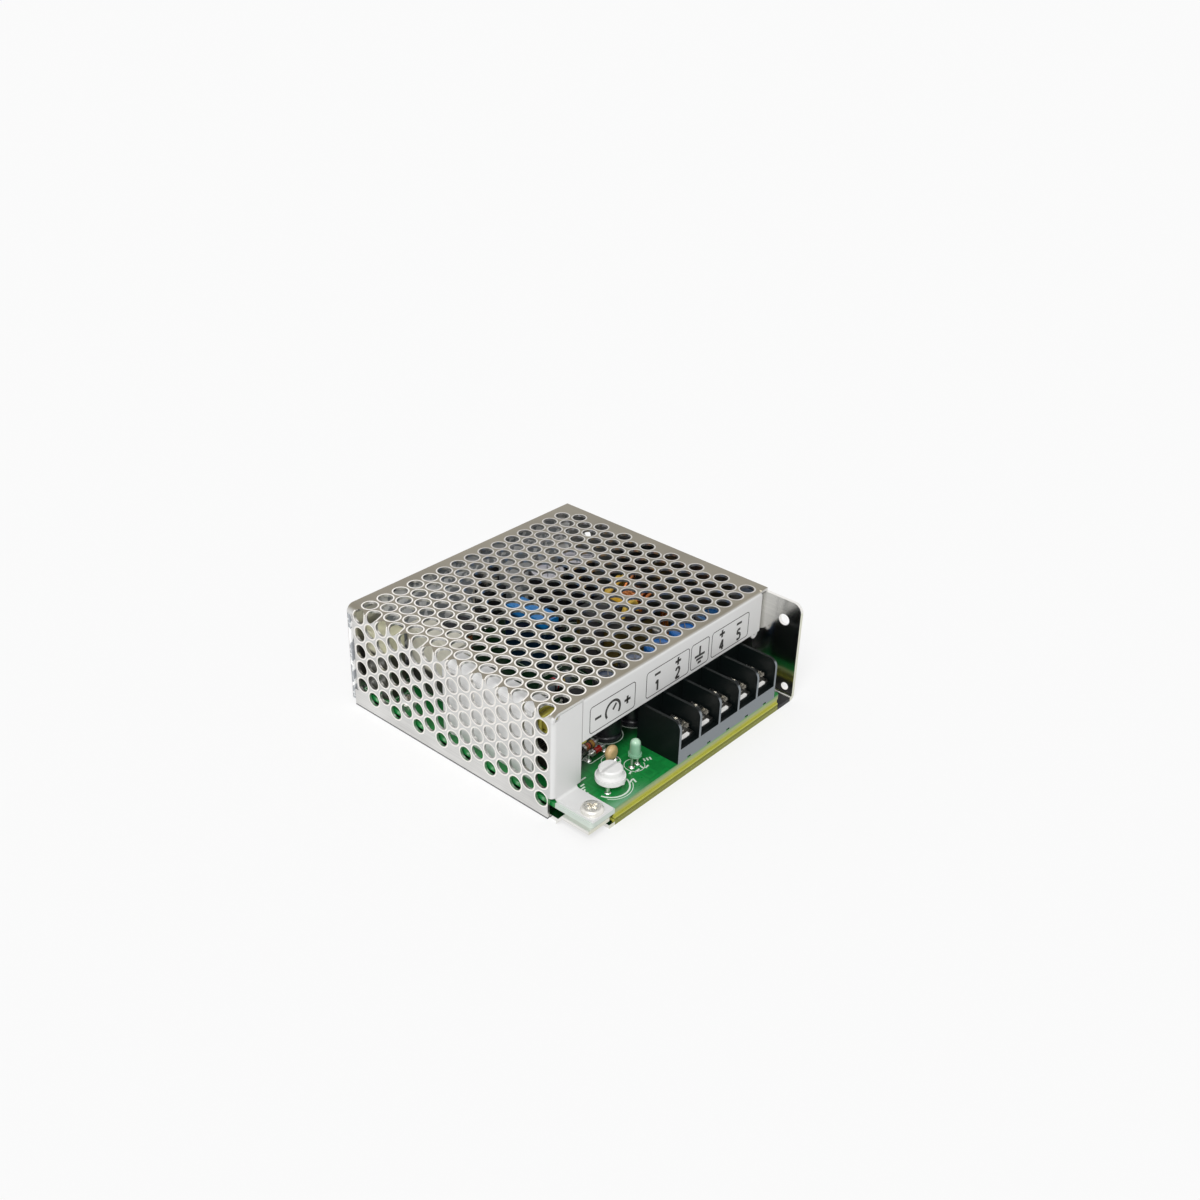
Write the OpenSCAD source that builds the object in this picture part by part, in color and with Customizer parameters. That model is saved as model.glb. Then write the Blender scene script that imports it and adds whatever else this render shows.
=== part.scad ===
// Enclosed dc-dc converter: folded chassis, perforated cover, circuit board and screw terminals.
// Millimetres. X runs left to right, Y from the terminals to the back, Z up from the base.

/* [Case] */
// Width of the case
case_w = 97; // [94:0.5:130]
// Length of the case
case_l = 98; // [95:0.5:140]
// Height of the case
case_h = 35; // [34:0.5:50]
// Set-back of the cover's front face from the front edge
recess = 13.6; // [13:0.1:15]
// Sheet thickness of the chassis
chassis_t = 1.2; // [1:0.1:1.5]
// Sheet thickness of the cover
cover_t = 0.8; // [0.6:0.1:1]
// Inside radius of the small sheet bends
bend_r = 0.8; // [0.5:0.1:1.2]
// Inside radius of the cover's long top edge
edge_r = 1.7; // [1.2:0.1:2.2]
// Gap between two sheets that lie face to face
sheet_gap = 0.15; // [0.1:0.05:0.3]
// Corner radius of the right wall at its front
wall_corner_r = 3; // [1:0.5:6]

/* [Perforation] */
// Diameter of the vent holes
hole_d = 4.5; // [3:0.1:5]
// Spacing of the holes along a row
hole_step = 6; // [5.6:0.1:8]
// Spacing of the rows
row_step = 5; // [4.8:0.1:7]
// First row, measured from the cover's front face
row_front = 4.1; // [3.5:0.1:8]
// Plain margin behind the last row
row_back = 4.5; // [3.5:0.1:8]
// First hole of the top, measured from the left face
row_left = 1.7; // [1.5:0.1:2]
// Least distance from a hole of the top to the right face
row_side = 3.4; // [3.2:0.1:8]
// First hole of the left wall, measured down from the top
wall_down = 5.2; // [5:0.1:5.5]
// Least height of the holes in the left wall
wall_low = 5.5; // [4:0.1:10]

/* [Cover flanges] */
// Width of the front and back flanges at the left corners
flange_w = 11.7; // [10:0.1:14]
// Slit between the front flange and the label strip
slit_w = 0.3; // [0.2:0.1:1]
// Clearance between the terminal walls and the label strip
strip_clear = 0.8; // [0.3:0.1:2]
// Width of the screw tab in front of the flange
tab_w = 8.2; // [7.6:0.1:9]
// Depth that the side ear runs back from the label strip
ear_l = 12; // [8:0.5:16]
// Ear screw, measured from the ear's back end
ear_screw_inset = 4.8; // [3:0.1:4.8]
// Cover screw, measured from the front edge
cover_screw_front = 3.5; // [3.4:0.1:5]
// Cover screw, measured from the left edge of its tab
cover_screw_left = 3.3; // [3.2:0.1:4.5]
// Radius of the small lug under the label strip
lug_r = 1.6; // [1:0.1:2.5]
// Lug centre, measured from the strip's right end
lug_inset = 2.2; // [2:0.1:8]
// Diameter of the small hole in the lug
lug_hole_d = 1; // [0.6:0.1:1.2]

/* [Board supports] */
// Height of the board's underside above the base
standoff_h = 4; // [3.4:0.1:6]
// Radius of the flat top of a pressed standoff
boss_r = 3.2; // [2.6:0.1:4]
// Widening of a pressed standoff at its foot
boss_flare = 1.6; // [1:0.1:2.5]
// Margin between a standoff's foot and the board's side edge
boss_margin = 0.2; // [0:0.1:0.6]
// Left standoff, in per cent of the board's length from its front
left_boss_at = 82.8; // [82:0.1:84]
// Right front standoff, in per cent of the board's length from its front
front_boss_at = 39.1; // [38.8:0.1:40]
// Width of the raised tab at the front left corner
raised_w = 8.5; // [8:0.1:10]
// Length of the slope up to the raised tab
slope_l = 2.2; // [1.5:0.1:3]
// Gap between the raised tab's slope and the cover's front face
slope_gap = 1.6; // [1:0.1:3]

/* [Case holes] */
// Diameter of the side mounting holes
side_hole_d = 3.8; // [3.2:0.1:4.5]
// Front side hole, measured from the front edge
side_hole_front = 5.8; // [5:0.1:9]
// Height of the side mounting holes
side_hole_z = 27.2; // [20:0.1:29]
// Spacing of the two side mounting holes
side_hole_step = 82; // [60:0.5:85]
// Diameter of the small locating hole low in the right wall
pilot_d = 2.6; // [2:0.1:3]
// Locating hole, measured from the front edge
pilot_front = 3; // [2.5:0.1:8]
// Height of the locating hole
pilot_z = 4; // [3.5:0.1:10]
// Diameter of the base mounting holes
base_hole_d = 3; // [2.5:0.1:3.5]
// Spacing of the base mounting holes across the case
base_hole_x = 64; // [56:0.5:68]
// Spacing of the base mounting holes along the case
base_hole_y = 66; // [60:0.5:70]

/* [Board and film] */
// Thickness of the circuit board
board_t = 1.6; // [1:0.1:2]
// Gap between the board and the cover
board_gap = 0.5; // [0.3:0.1:1]
// Set-back of the board from the front edge
board_inset = 0.2; // [0.1:0.1:0.5]
// Air gap between the board and the right wall
wire_gap = 6.8; // [5:0.1:9]
// Corner radius of the board
board_r = 1.2; // [0.5:0.1:2]
// Thickness of the insulating film on the floor
film_t = 0.4; // [0.2:0.05:0.8]
// Set-back of the film from the front edge
film_inset = 0.1; // [0.1:0.1:0.5]
// Gap between the film's raised front lip and the board
film_lip_gap = 0.15; // [0.1:0.05:0.5]
// Height of the hem folded down in front of the film's lip
film_hem = 1.3; // [0.8:0.1:2]
// Clearance of the film around standoffs and base holes
film_clear = 0.8; // [0.4:0.1:2]
// Gap between the film and the raised corner tab
film_left = 2.4; // [1:0.1:4]
// Diameter of the component leads
lead_d = 0.7; // [0.5:0.05:0.9]
// Clearance of a lead in its board hole
lead_clear = 0.3; // [0.15:0.05:0.5]
// Length of lead that stands out under the board
lead_out = 1.2; // [0.6:0.1:1.6]

/* [Terminal block] */
// Number of terminals
poles = 5; // [2:1:5]
// Spacing of the terminals
pole_pitch = 9.3; // [8.5:0.1:10]
// Thickness of the divider walls
divider_t = 0.9; // [0.7:0.05:1.2]
// Depth of the block, front to back
block_l = 15.5; // [14.5:0.1:17]
// Distance from the block to the board's right edge
block_right = 3.2; // [1:0.1:5]
// Height of the divider walls above the board
block_h = 14.1; // [13:0.1:15]
// Height of the front lip above the board
lip_h = 4.7; // [4:0.1:5.5]
// Depth of the front lip
lip_l = 1.5; // [1:0.1:2]
// Height of the contact seat above the board
seat_h = 5.9; // [5.6:0.1:7]
// Thickness of the block's back wall
block_back_t = 1.2; // [0.8:0.1:1.6]
// Front corner radius of the divider walls
divider_r = 2.6; // [1:0.1:4]
// Width of the small notches along the foot of the block
notch_w = 1.5; // [1:0.1:3]
// Height of the small notches along the foot of the block
notch_h = 0.7; // [0.4:0.1:1.5]
// Distance of the screws from the block's front
pole_y = 6.6; // [6:0.1:7.5]
// Thickness of the contact strips
contact_t = 0.8; // [0.6:0.05:1]
// Width of the contact strips
contact_w = 7; // [6:0.1:7.4]
// Width of the clamp plates
clamp_w = 7.2; // [6:0.1:7.4]
// Length of the clamp plates
clamp_l = 6.8; // [6:0.1:7.6]
// Thickness of the clamp plates
clamp_t = 1; // [0.8:0.05:1.2]
// Height of the turned-up sides of a clamp plate
clamp_rim = 0.9; // [0.5:0.1:1.4]
// Travel of a clamp plate
clamp_lift = 3; // [2:0.1:3.2]
// Thread that stays in the contact strip at full travel
thread_spare = 1.2; // [0.8:0.1:1.4]

/* [Screws] */
// Thread diameter of all screws
screw_d = 2.9; // [2.5:0.05:3]
// Radial clearance of a thread in its tapped hole
thread_clear = 0.05; // [0.02:0.01:0.1]
// Radial clearance of a screw in a plain hole
pass_clear = 0.25; // [0.15:0.05:0.4]
// Head diameter of the terminal screws
terminal_head_d = 5.6; // [5:0.1:6]
// Head diameter of the case screws
case_head_d = 6.4; // [5.6:0.1:7]
// Height of the pan heads
head_h = 2.2; // [1.8:0.1:2.5]
// Height of the case screws' low heads
case_head_h = 1.5; // [1.4:0.1:2.5]
// Width of the cross recess
cross_w = 0.9; // [0.6:0.05:1.2]
// Length of the cross recess
cross_l = 3.4; // [2.6:0.1:4]
// Depth of the cross recess
cross_deep = 1.2; // [0.8:0.1:1.5]
// Outer diameter of the flush screw heads
flush_head_d = 5.2; // [4.8:0.1:5.6]

/* [Trimmer and lamp] */
// Trimmer centre, in per cent of the board's width from its left
trimmer_at_x = 18.8; // [18:0.1:20]
// Trimmer centre, measured from the board's front edge
trimmer_front = 7.8; // [6:0.1:9]
// Diameter of the trimmer's base
trimmer_base_d = 8.8; // [8.2:0.1:10]
// Thickness of the trimmer's base
trimmer_base_t = 1.4; // [1:0.1:2]
// Height of the trimmer's base above the board
trimmer_stand = 2.4; // [1.5:0.1:4]
// Trimmer's legs, measured in from its base's edge
trimmer_leg_inset = 1; // [0.8:0.1:1.6]
// Diameter of the trimmer's knob
knob_d = 7; // [6:0.1:7.8]
// Height of the trimmer's knob
knob_h = 2.7; // [2.2:0.1:5]
// Diameter of the trimmer's spindle
spindle_d = 3; // [2:0.1:4]
// Running clearance of the trimmer's knob
knob_clear = 0.05; // [0.03:0.01:0.1]
// Width of the screwdriver slot
slot_w = 1.1; // [0.8:0.1:1.6]
// Depth of the screwdriver slot
slot_deep = 1; // [0.6:0.1:1.4]
// Lamp centre, in per cent of the board's width from its left
lamp_at_x = 32.3; // [31.5:0.1:33]
// Lamp centre, measured from the board's front edge
lamp_front = 8.9; // [5:0.1:11]
// Diameter of the lamp
lamp_d = 3.2; // [3:0.1:4]
// Height of the lamp
lamp_h = 5.6; // [4.5:0.1:7]
// Width of the lamp's rim
lamp_rim = 0.4; // [0.2:0.1:0.6]
// Height of the lamp's rim above the board
lamp_stand = 3.6; // [1:0.1:5]
// Spacing of the lamp's leads
lamp_step = 2.54; // [2:0.01:2.6]

/* [Transformer] */
// Transformer centre, measured from the board's right edge
transformer_right = 20.5; // [20.5:0.1:24]
// Transformer centre, in per cent of the board's length from its front
transformer_at_y = 53.3; // [52:0.1:54]
// Width of the core
core_w = 25; // [22:0.5:26]
// Height of the core
core_h = 21; // [18:0.5:23]
// Depth of the core
core_l = 7; // [6:0.1:8]
// Thickness of the core's yokes and outer legs
yoke_t = 3.2; // [2.5:0.1:4]
// Width of the core's middle leg
leg_w = 6.4; // [5:0.1:7]
// Wall of the bobbin
bobbin_t = 0.8; // [0.6:0.1:1.2]
// Length of the winding, front to back
winding_l = 19.6; // [17:0.1:20]
// Corner radius of the winding
winding_r = 2; // [1:0.1:3]
// Clearance between core, bobbin and winding
coil_clear = 0.3; // [0.2:0.05:0.5]
// Number of pins on each side of the bobbin
bobbin_pins = 4; // [2:1:5]
// Spacing of the bobbin's pins
bobbin_pin_step = 5; // [3:0.1:6]

/* [Chokes] */
// Outer diameter of the output choke's ring
ring_d = 17; // [15:0.1:18]
// Inner diameter of the output choke's ring
ring_bore = 9; // [8:0.1:10]
// Thickness of the output choke's ring
ring_t = 7; // [5:0.1:8]
// Edge radius of the output choke's ring
ring_edge_r = 1; // [0.5:0.1:1.5]
// Turns on the output choke
ring_turns = 12; // [6:1:14]
// Wire diameter of the output choke
ring_wire = 1.1; // [0.8:0.05:1.2]
// Output choke centre, measured from the board's left edge
ring_left = 11.4; // [11:0.1:13]
// Gap between the output choke and the cover's front flange
ring_gap = 1; // [0.5:0.1:1.5]
// Diameter of the input choke's core
drum_d = 11; // [9:0.1:13]
// Height of the input choke's core
drum_h = 13; // [9:0.1:18]
// Thickness of the flanges of the input choke's core
drum_flange = 1.6; // [1:0.1:2.5]
// Diameter of the input choke's waist
drum_waist = 5; // [4:0.1:6]
// Wire diameter of the input choke
drum_wire = 0.9; // [0.6:0.05:1.2]
// Input choke centre, in per cent of the board's width and length
drum_place = [36.5, 90.5]; // [34:0.5:92]

/* [Capacitors] */
// Number of output capacitors
output_caps = 4; // [1:1:4]
// Diameter of the output capacitors
output_cap_d = 10; // [8:0.1:11]
// Height of the output capacitors
output_cap_h = 21; // [12:0.5:25]
// Last output capacitor, measured from the board's right edge
output_cap_right = 6; // [5.7:0.1:7]
// Gap between the output capacitors and the terminal block
output_cap_gap = 4.3; // [2:0.1:6]
// Diameter of the input capacitors
input_cap_d = 12.5; // [10:0.1:13]
// Height of the input capacitors
input_cap_h = 22; // [14:0.5:25]
// Spacing of the input capacitors
input_cap_step = 14; // [13.2:0.1:15]
// Outer input capacitor, measured from the board's right edge
input_cap_right = 7.6; // [6.8:0.1:9]
// Input capacitors, in per cent of the board's length from its front
input_cap_at_y = 83.2; // [81:0.1:84]
// Diameter of the small capacitor at the front
small_cap_d = 9; // [6:0.1:9.2]
// Height of the small capacitor at the front
small_cap_h = 20.5; // [8:0.5:25]
// Small capacitor, in per cent of the board's width from its left
small_cap_at_x = 39; // [37.5:0.1:40]
// Size of the blue film capacitor: width, length, height
blue_cap = [7, 18, 19]; // [5:0.5:22]
// Blue film capacitor, in per cent of the board's width and length
blue_cap_place = [55, 72.5]; // [52:0.5:75]
// Size of the cream film capacitor: width, length, height
cream_cap = [8, 21, 20]; // [5:0.5:24]
// Cream film capacitor, in per cent of the board's width and length
cream_cap_place = [19.5, 82]; // [18:0.5:83]
// Size of the yellow film capacitor: width, length, height
yellow_cap = [8, 10, 22]; // [5:0.5:24]
// Yellow film capacitor, measured from the board's left and back edges
yellow_cap_corner = [5.4, 6.2]; // [5:0.1:7]
// Corner radius of the film capacitors
film_cap_r = 1.2; // [0.5:0.1:2]
// Diameter of the disc capacitor
disc_d = 4.6; // [4:0.1:6]
// Thickness of the disc capacitor
disc_t = 2.4; // [1.5:0.1:3]
// Disc capacitor, in per cent of the board's width and length
disc_place = [28.7, 15.8]; // [15:0.1:30]

/* [Power devices] */
// Thickness of the heat sink
sink_t = 1.5; // [1:0.1:2]
// Length of the heat sink
sink_l = 36; // [24:0.5:38]
// Height of the heat sink
sink_h = 24.4; // [22:0.1:26]
// Width of the lip folded along the heat sink's top
sink_lip = 5; // [3:0.1:6]
// Gap between the heat sink and the cover's left wall
sink_gap = 3.5; // [2.5:0.1:4]
// Back end of the heat sink, measured from the board's back edge
sink_back = 34; // [32:0.1:36]
// Width of a power device
device_w = 10; // [9:0.1:10.5]
// Thickness of a power device
device_t = 4.5; // [4:0.1:5]
// Height of the moulded body of a power device
device_body = 9; // [8:0.1:10]
// Height of a power device with its tab
device_h = 15.6; // [14.5:0.1:16]
// Thickness of a power device's tab
device_tab = 1.3; // [1:0.1:1.5]
// Screw hole, measured from the top of the tab
device_hole = 2.8; // [2.6:0.1:3]
// Height of a power device above the board
device_stand = 4.6; // [3:0.1:6]
// Spacing of a power device's leads
device_step = 2.54; // [2.2:0.01:2.8]
// Thickness of the insulating pads
pad_t = 0.3; // [0.2:0.05:0.5]
// Switching transistor, measured from the board's right edge
switch_right = 33; // [32:0.1:37]
// Rectifier, measured back from the heat sink's front end
rectifier_front = 24; // [14:0.1:28]

/* [Small parts] */
// Size of the control chip: width, length, height
chip = [6.4, 9.4, 3.4]; // [3:0.1:10]
// Control chip, in per cent of the board's width and length
chip_place = [45.6, 43]; // [42:0.1:46]
// Leads on each side of the control chip
chip_pins = 4; // [2:1:4]
// Size of the optocoupler: width, length, height
opto = [6.4, 4.8, 3.5]; // [3:0.1:8]
// Optocoupler, in per cent of the board's width and length
opto_place = [29.6, 46.2]; // [28:0.1:48]
// Lead spacing of the chips
pin_step = 2.54; // [2:0.01:2.6]
// Length of the fuse
fuse_l = 20; // [15:0.5:22]
// Diameter of the fuse
fuse_d = 5; // [4:0.1:5.2]
// Length of the fuse's end caps
fuse_cap = 5; // [3:0.1:6]
// Fuse, measured from the board's right edge
fuse_right = 3.4; // [3.1:0.1:4]
// Fuse centre, in per cent of the board's length from its front
fuse_at_y = 58; // [57:0.1:59]
// Thickness of the fuse clips
clip_t = 0.4; // [0.3:0.05:0.5]
// Width of the fuse clips
clip_w = 3; // [2:0.1:5]
// Diameter of the glass diode
glass_d = 2; // [1.5:0.1:3]
// Length of the glass diode
glass_l = 4.4; // [3:0.1:6]
// Glass diode, in per cent of the board's width and length
glass_place = [27.8, 21]; // [20.5:0.1:28.5]
// Diameter of the small resistor
resistor_d = 2.4; // [1.5:0.1:3]
// Length of the small resistor
resistor_l = 5; // [4:0.1:5.4]
// Small resistor, in per cent of the board's width and length
resistor_place = [27.5, 24.1]; // [24:0.1:28]
// Diameter of the power resistor
power_res_d = 4.5; // [3:0.1:5]
// Length of the power resistor
power_res_l = 11; // [8:0.1:14]
// Power resistor, in per cent of the board's width and length
power_res_place = [46, 53.8]; // [44:0.1:55]
// Height of the axial parts above the board
axial_stand = 0.8; // [0.3:0.1:2]
// Length of lead between an axial part's end and its bend, both ends together
axial_reach = 2.4; // [2:0.1:2.8]
// Narrowing of the glass diode between its ends
glass_waist = 0.2; // [0.1:0.1:0.4]
// Narrowing of the resistors between their ends
resistor_waist = 0.4; // [0.1:0.1:0.8]

/* [Hidden] */
$fn = 48;
// Overshoot of a cut past the face it opens
over = 0.5;

half_w = case_w / 2;
half_l = case_l / 2;
face_y = -half_l + recess;
fold_out = bend_r + cover_t;
edge_out = edge_r + cover_t;
chassis_out = bend_r + chassis_t;
wall_top = case_h - cover_t;
floor_x0 = -half_w + cover_t + sheet_gap;
back_face = half_l - chassis_t - sheet_gap;
right_face = half_w - chassis_t - sheet_gap;

board_top = standoff_h + board_t;
lead_z = standoff_h - lead_out;
board_x0 = -half_w + cover_t + board_gap;
board_x1 = half_w - chassis_t - wire_gap;
board_y0 = -half_l + board_inset;
board_y1 = back_face - cover_t - board_gap;
lead_hole_d = lead_d + 2 * lead_clear;

// Places on the board, in per cent of its width from the left and of its length from the front
function board_x(share) = board_x0 + share / 100 * (board_x1 - board_x0);
function board_y(share) = board_y0 + share / 100 * (board_y1 - board_y0);
function on_board(place) = [board_x(place[0]), board_y(place[1])];

// Terminal block
block_x1 = board_x1 - block_right;
block_x0 = block_x1 - poles * pole_pitch - divider_t;
block_y1 = board_y0 + block_l;
block_top = board_top + block_h;
seat_z = board_top + seat_h;
contact_top = seat_z + contact_t;
terminal_len = clamp_t + contact_t + clamp_lift + thread_spare;
clamp_top = contact_top + clamp_t;
contact_back = block_y1 - block_back_t - coil_clear;
function pole_x(i) = block_x0 + divider_t / 2 + (i + 0.5) * pole_pitch;
pole_at_y = board_y0 + pole_y;

// Label strip and flanges of the cover
strip_z0 = block_top + strip_clear;
strip_x0 = -half_w + flange_w + slit_w;
strip_x1 = right_face - fold_out;
tab_top = board_top + cover_t;
tab_x1 = -half_w + flange_w - fold_out;
tab_x0 = tab_x1 - tab_w;

// Screw places
cover_screw_at = [tab_x0 + cover_screw_left, -half_l + cover_screw_front];
ear_screw_y = face_y + ear_l - ear_screw_inset;
ear_screw_z = (strip_z0 + case_h) / 2;
back_screw_x = -half_w + (fold_out + flange_w) / 2;
back_screw_z = case_h / 2;
boss_inset = boss_r + boss_flare + boss_margin;
posts = [[board_x0 + boss_inset, board_y(left_boss_at)],
         [board_x1 - boss_inset, board_y1 - boss_inset],
         [board_x1 - boss_inset, board_y(front_boss_at)]];

// Perforation
row_y = [for (y = face_y + row_front; y <= half_l - row_back; y = y + row_step) y];
wall_z_even = [for (z = case_h - wall_down; z >= wall_low; z = z - hole_step) z];
wall_z_odd = [for (z = case_h - wall_down - hole_step / 2; z >= wall_low; z = z - hole_step) z];
odd_left = row_left + hole_step / 2;
top_x_even = [for (x = -half_w + row_left + hole_step; x <= half_w - row_side; x = x + hole_step) x];
top_x_odd = [for (x = -half_w + odd_left; x <= half_w - row_side; x = x + hole_step) x];
// Each row has one hole in the bend between the top and the left wall, tilted to stand square to it
edge_tilt_even = asin(1 - row_left / edge_out);
edge_tilt_odd = acos(1 - (wall_down - hole_step / 2) / edge_out);

// Heat sink and power devices
sink_x0 = -half_w + cover_t + sink_gap;
sink_x1 = sink_x0 + sink_t;
sink_y1 = board_y1 - sink_back;
sink_y0 = sink_y1 - sink_l;
device_z = board_top + device_stand;
device_hole_z = device_z + device_h - device_hole;
device_lead = device_t / 2;
rectifier_at = [sink_x1 + pad_t, sink_y0 + rectifier_front];
switch_at = [board_x1 - switch_right, half_l - chassis_t - pad_t];

// Component places
trimmer_at = [board_x(trimmer_at_x), board_y0 + trimmer_front];
lamp_at = [board_x(lamp_at_x), board_y0 + lamp_front];
transformer_at = [board_x1 - transformer_right, board_y(transformer_at_y)];
ring_r = ring_d / 2 + ring_wire + coil_clear;
ring_at = [board_x0 + ring_left, face_y + cover_t + ring_gap + ring_r];
ring_z = board_top + ring_r;
wire_arc = 300;
wire_end_a = wire_arc / 2 - 90;
wire_end_r = ring_d / 2 + ring_wire / 2 + coil_clear;
drum_at = on_board(drum_place);
blue_cap_at = on_board(blue_cap_place);
cream_cap_at = on_board(cream_cap_place);
yellow_cap_at = [board_x0 + yellow_cap_corner[0], board_y1 - yellow_cap_corner[1]];
disc_at = on_board(disc_place);
output_cap_y = block_y1 + output_cap_gap + output_cap_d / 2;
small_cap_at = [board_x(small_cap_at_x), output_cap_y];
output_cap_x = board_x1 - output_cap_right;
output_cap_step = (output_cap_x - small_cap_at[0]) / output_caps;
function output_cap_at(i) = [output_cap_x - i * output_cap_step, output_cap_y];
function input_cap_at(i) = [board_x1 - input_cap_right - i * input_cap_step, board_y(input_cap_at_y)];
chip_at = on_board(chip_place);
opto_at = on_board(opto_place);
glass_at = on_board(glass_place);
resistor_at = on_board(resistor_place);
power_res_at = on_board(power_res_place);
fuse_at = [board_x1 - fuse_right, board_y(fuse_at_y)];
clip_x = fuse_l / 2 - fuse_cap / 2;

// Leads through the board: pairs along X or Y, and rows
function pair_x(at, gap) = [at - [gap / 2, 0], at + [gap / 2, 0]];
function pair_y(at, gap) = [at - [0, gap / 2], at + [0, gap / 2]];
function row_leads(at, n, step, dir) = [for (i = [0 : n - 1]) at + (i - (n - 1) / 2) * step * dir];
function two_rows(at, n, step, gap) =
    concat(row_leads(at - [gap / 2, 0], n, step, [0, 1]), row_leads(at + [gap / 2, 0], n, step, [0, 1]));

// Lead spacings as shares of the part that the leads carry
cap_lead_share = 0.45;
film_lead_share = 0.75;
drum_lead_share = 0.6;
sink_pin_share = 0.8;
trimmer_leg_r = trimmer_base_d / 2 - trimmer_leg_inset;
trimmer_legs = [for (a = [90, 210, 330]) trimmer_at + trimmer_leg_r * [cos(a), sin(a)]];
lamp_leads = pair_x(lamp_at, lamp_step);
pin_row_y = winding_l / 2 - lead_d;
transformer_pins = concat(
    row_leads(transformer_at - [0, pin_row_y], bobbin_pins, bobbin_pin_step, [1, 0]),
    row_leads(transformer_at + [0, pin_row_y], bobbin_pins, bobbin_pin_step, [1, 0]));
ring_leads = pair_y(ring_at, 2 * wire_end_r * cos(wire_end_a));
drum_leads = pair_x(drum_at, drum_d * drum_lead_share);
function cap_leads(at, d) = pair_x(at, d * cap_lead_share);
blue_leads = pair_y(blue_cap_at, blue_cap[1] * film_lead_share);
cream_leads = pair_y(cream_cap_at, cream_cap[1] * film_lead_share);
yellow_leads = pair_y(yellow_cap_at, yellow_cap[1] * film_lead_share);
disc_leads = pair_x(disc_at, disc_d * film_lead_share);
chip_leads = two_rows(chip_at, chip_pins, pin_step, chip[0] + 2 * lead_d);
opto_leads = two_rows(opto_at, 2, pin_step, opto[0] + 2 * lead_d);
glass_leads = pair_x(glass_at, glass_l + axial_reach);
resistor_leads = pair_x(resistor_at, resistor_l + axial_reach);
power_res_leads = pair_x(power_res_at, power_res_l + axial_reach);
rectifier_leads = row_leads(rectifier_at + [device_lead, 0], 3, device_step, [0, 1]);
switch_leads = row_leads(switch_at - [0, device_lead], 3, device_step, [1, 0]);
sink_pins = pair_y([(sink_x0 + sink_x1) / 2, (sink_y0 + sink_y1) / 2], sink_l * sink_pin_share);
contact_pins = [for (i = [0 : poles - 1]) [pole_x(i), contact_back - contact_t / 2]];
clip_pins = [for (s = [-1, 1]) fuse_at + [0, s * clip_x]];
all_leads = concat(
    trimmer_legs, lamp_leads, transformer_pins, ring_leads, drum_leads, blue_leads, cream_leads, yellow_leads,
    disc_leads, chip_leads, opto_leads, glass_leads, resistor_leads, power_res_leads, rectifier_leads,
    switch_leads, sink_pins, contact_pins, clip_pins, cap_leads(small_cap_at, small_cap_d),
    [for (i = [0 : output_caps - 1]) each cap_leads(output_cap_at(i), output_cap_d)],
    [for (i = [0 : 1]) each cap_leads(input_cap_at(i), input_cap_d)]);

// A block between two opposite corners
module slab(lo, hi) translate(lo) cube(hi - lo);

// A flat rectangle between two opposite corners
module patch(lo, hi) translate(lo) square(hi - lo);

// A quarter of a sheet bend about the Z axis, from +X to +Y
module bend(r_in, t, len) rotate_extrude(angle = 90) translate([r_in, 0]) square([t, len]);

// A rectangle with its four corners rounded
module round_patch(lo, hi, r) {
    patch(lo + [r, 0], hi - [r, 0]);
    patch(lo + [0, r], hi - [0, r]);
    for (x = [lo[0] + r, hi[0] - r], y = [lo[1] + r, hi[1] - r]) translate([x, y]) circle(r);
}

// A profile drawn as length and height, carried along X
module along_x(x0, x1) translate([x0, 0, 0]) rotate([90, 0, 90]) linear_extrude(x1 - x0) children();

// Children repeated at each listed place on the board
module at_each(places) for (p = places) translate([p[0], p[1], 0]) children();

// A straight lead from the given height down through the board
module lead(top) translate([0, 0, lead_z]) cylinder(h = top - lead_z, d = lead_d);

// Cross recess cut down from the origin
module cross_recess() translate([0, 0, -cross_deep]) for (a = [0, 90])
    rotate(a) slab([-cross_l / 2, -cross_w / 2, 0], [cross_l / 2, cross_w / 2, cross_deep + over]);

// A pan head screw, its head standing on the origin
module pan_screw(head_d, len, high = head_h) {
    round_r = high / 2;
    difference() {
        union() {
            rotate_extrude() {
                square([head_d / 2 - round_r, high]);
                square([head_d / 2, high - round_r]);
                intersection() {
                    translate([head_d / 2 - round_r, high - round_r]) circle(round_r);
                    square([head_d / 2, high]);
                }
            }
            translate([0, 0, -len]) cylinder(h = len, d = screw_d);
        }
        translate([0, 0, high]) cross_recess();
    }
}

// A countersunk screw, its flat head level with the origin
module flush_screw(len) difference() {
    union() {
        translate([0, 0, -chassis_t]) cylinder(h = chassis_t, d1 = screw_d, d2 = flush_head_d);
        translate([0, 0, -len]) cylinder(h = len, d = screw_d);
    }
    cross_recess();
}

// The countersunk hole that takes a flush screw
module flush_hole() {
    translate([0, 0, -chassis_t]) cylinder(h = chassis_t, d1 = screw_d + 2 * thread_clear,
        d2 = flush_head_d + 2 * thread_clear);
    translate([0, 0, -chassis_t - over]) cylinder(h = chassis_t + over, d = screw_d + 2 * thread_clear);
}

// Places of the flush screws: the cover's side ear and its back flange
module at_ear_screw() translate([half_w, ear_screw_y, ear_screw_z]) rotate([0, 90, 0]) children();
module at_back_screw() translate([back_screw_x, half_l, back_screw_z]) rotate([-90, 0, 0]) children();

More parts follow.
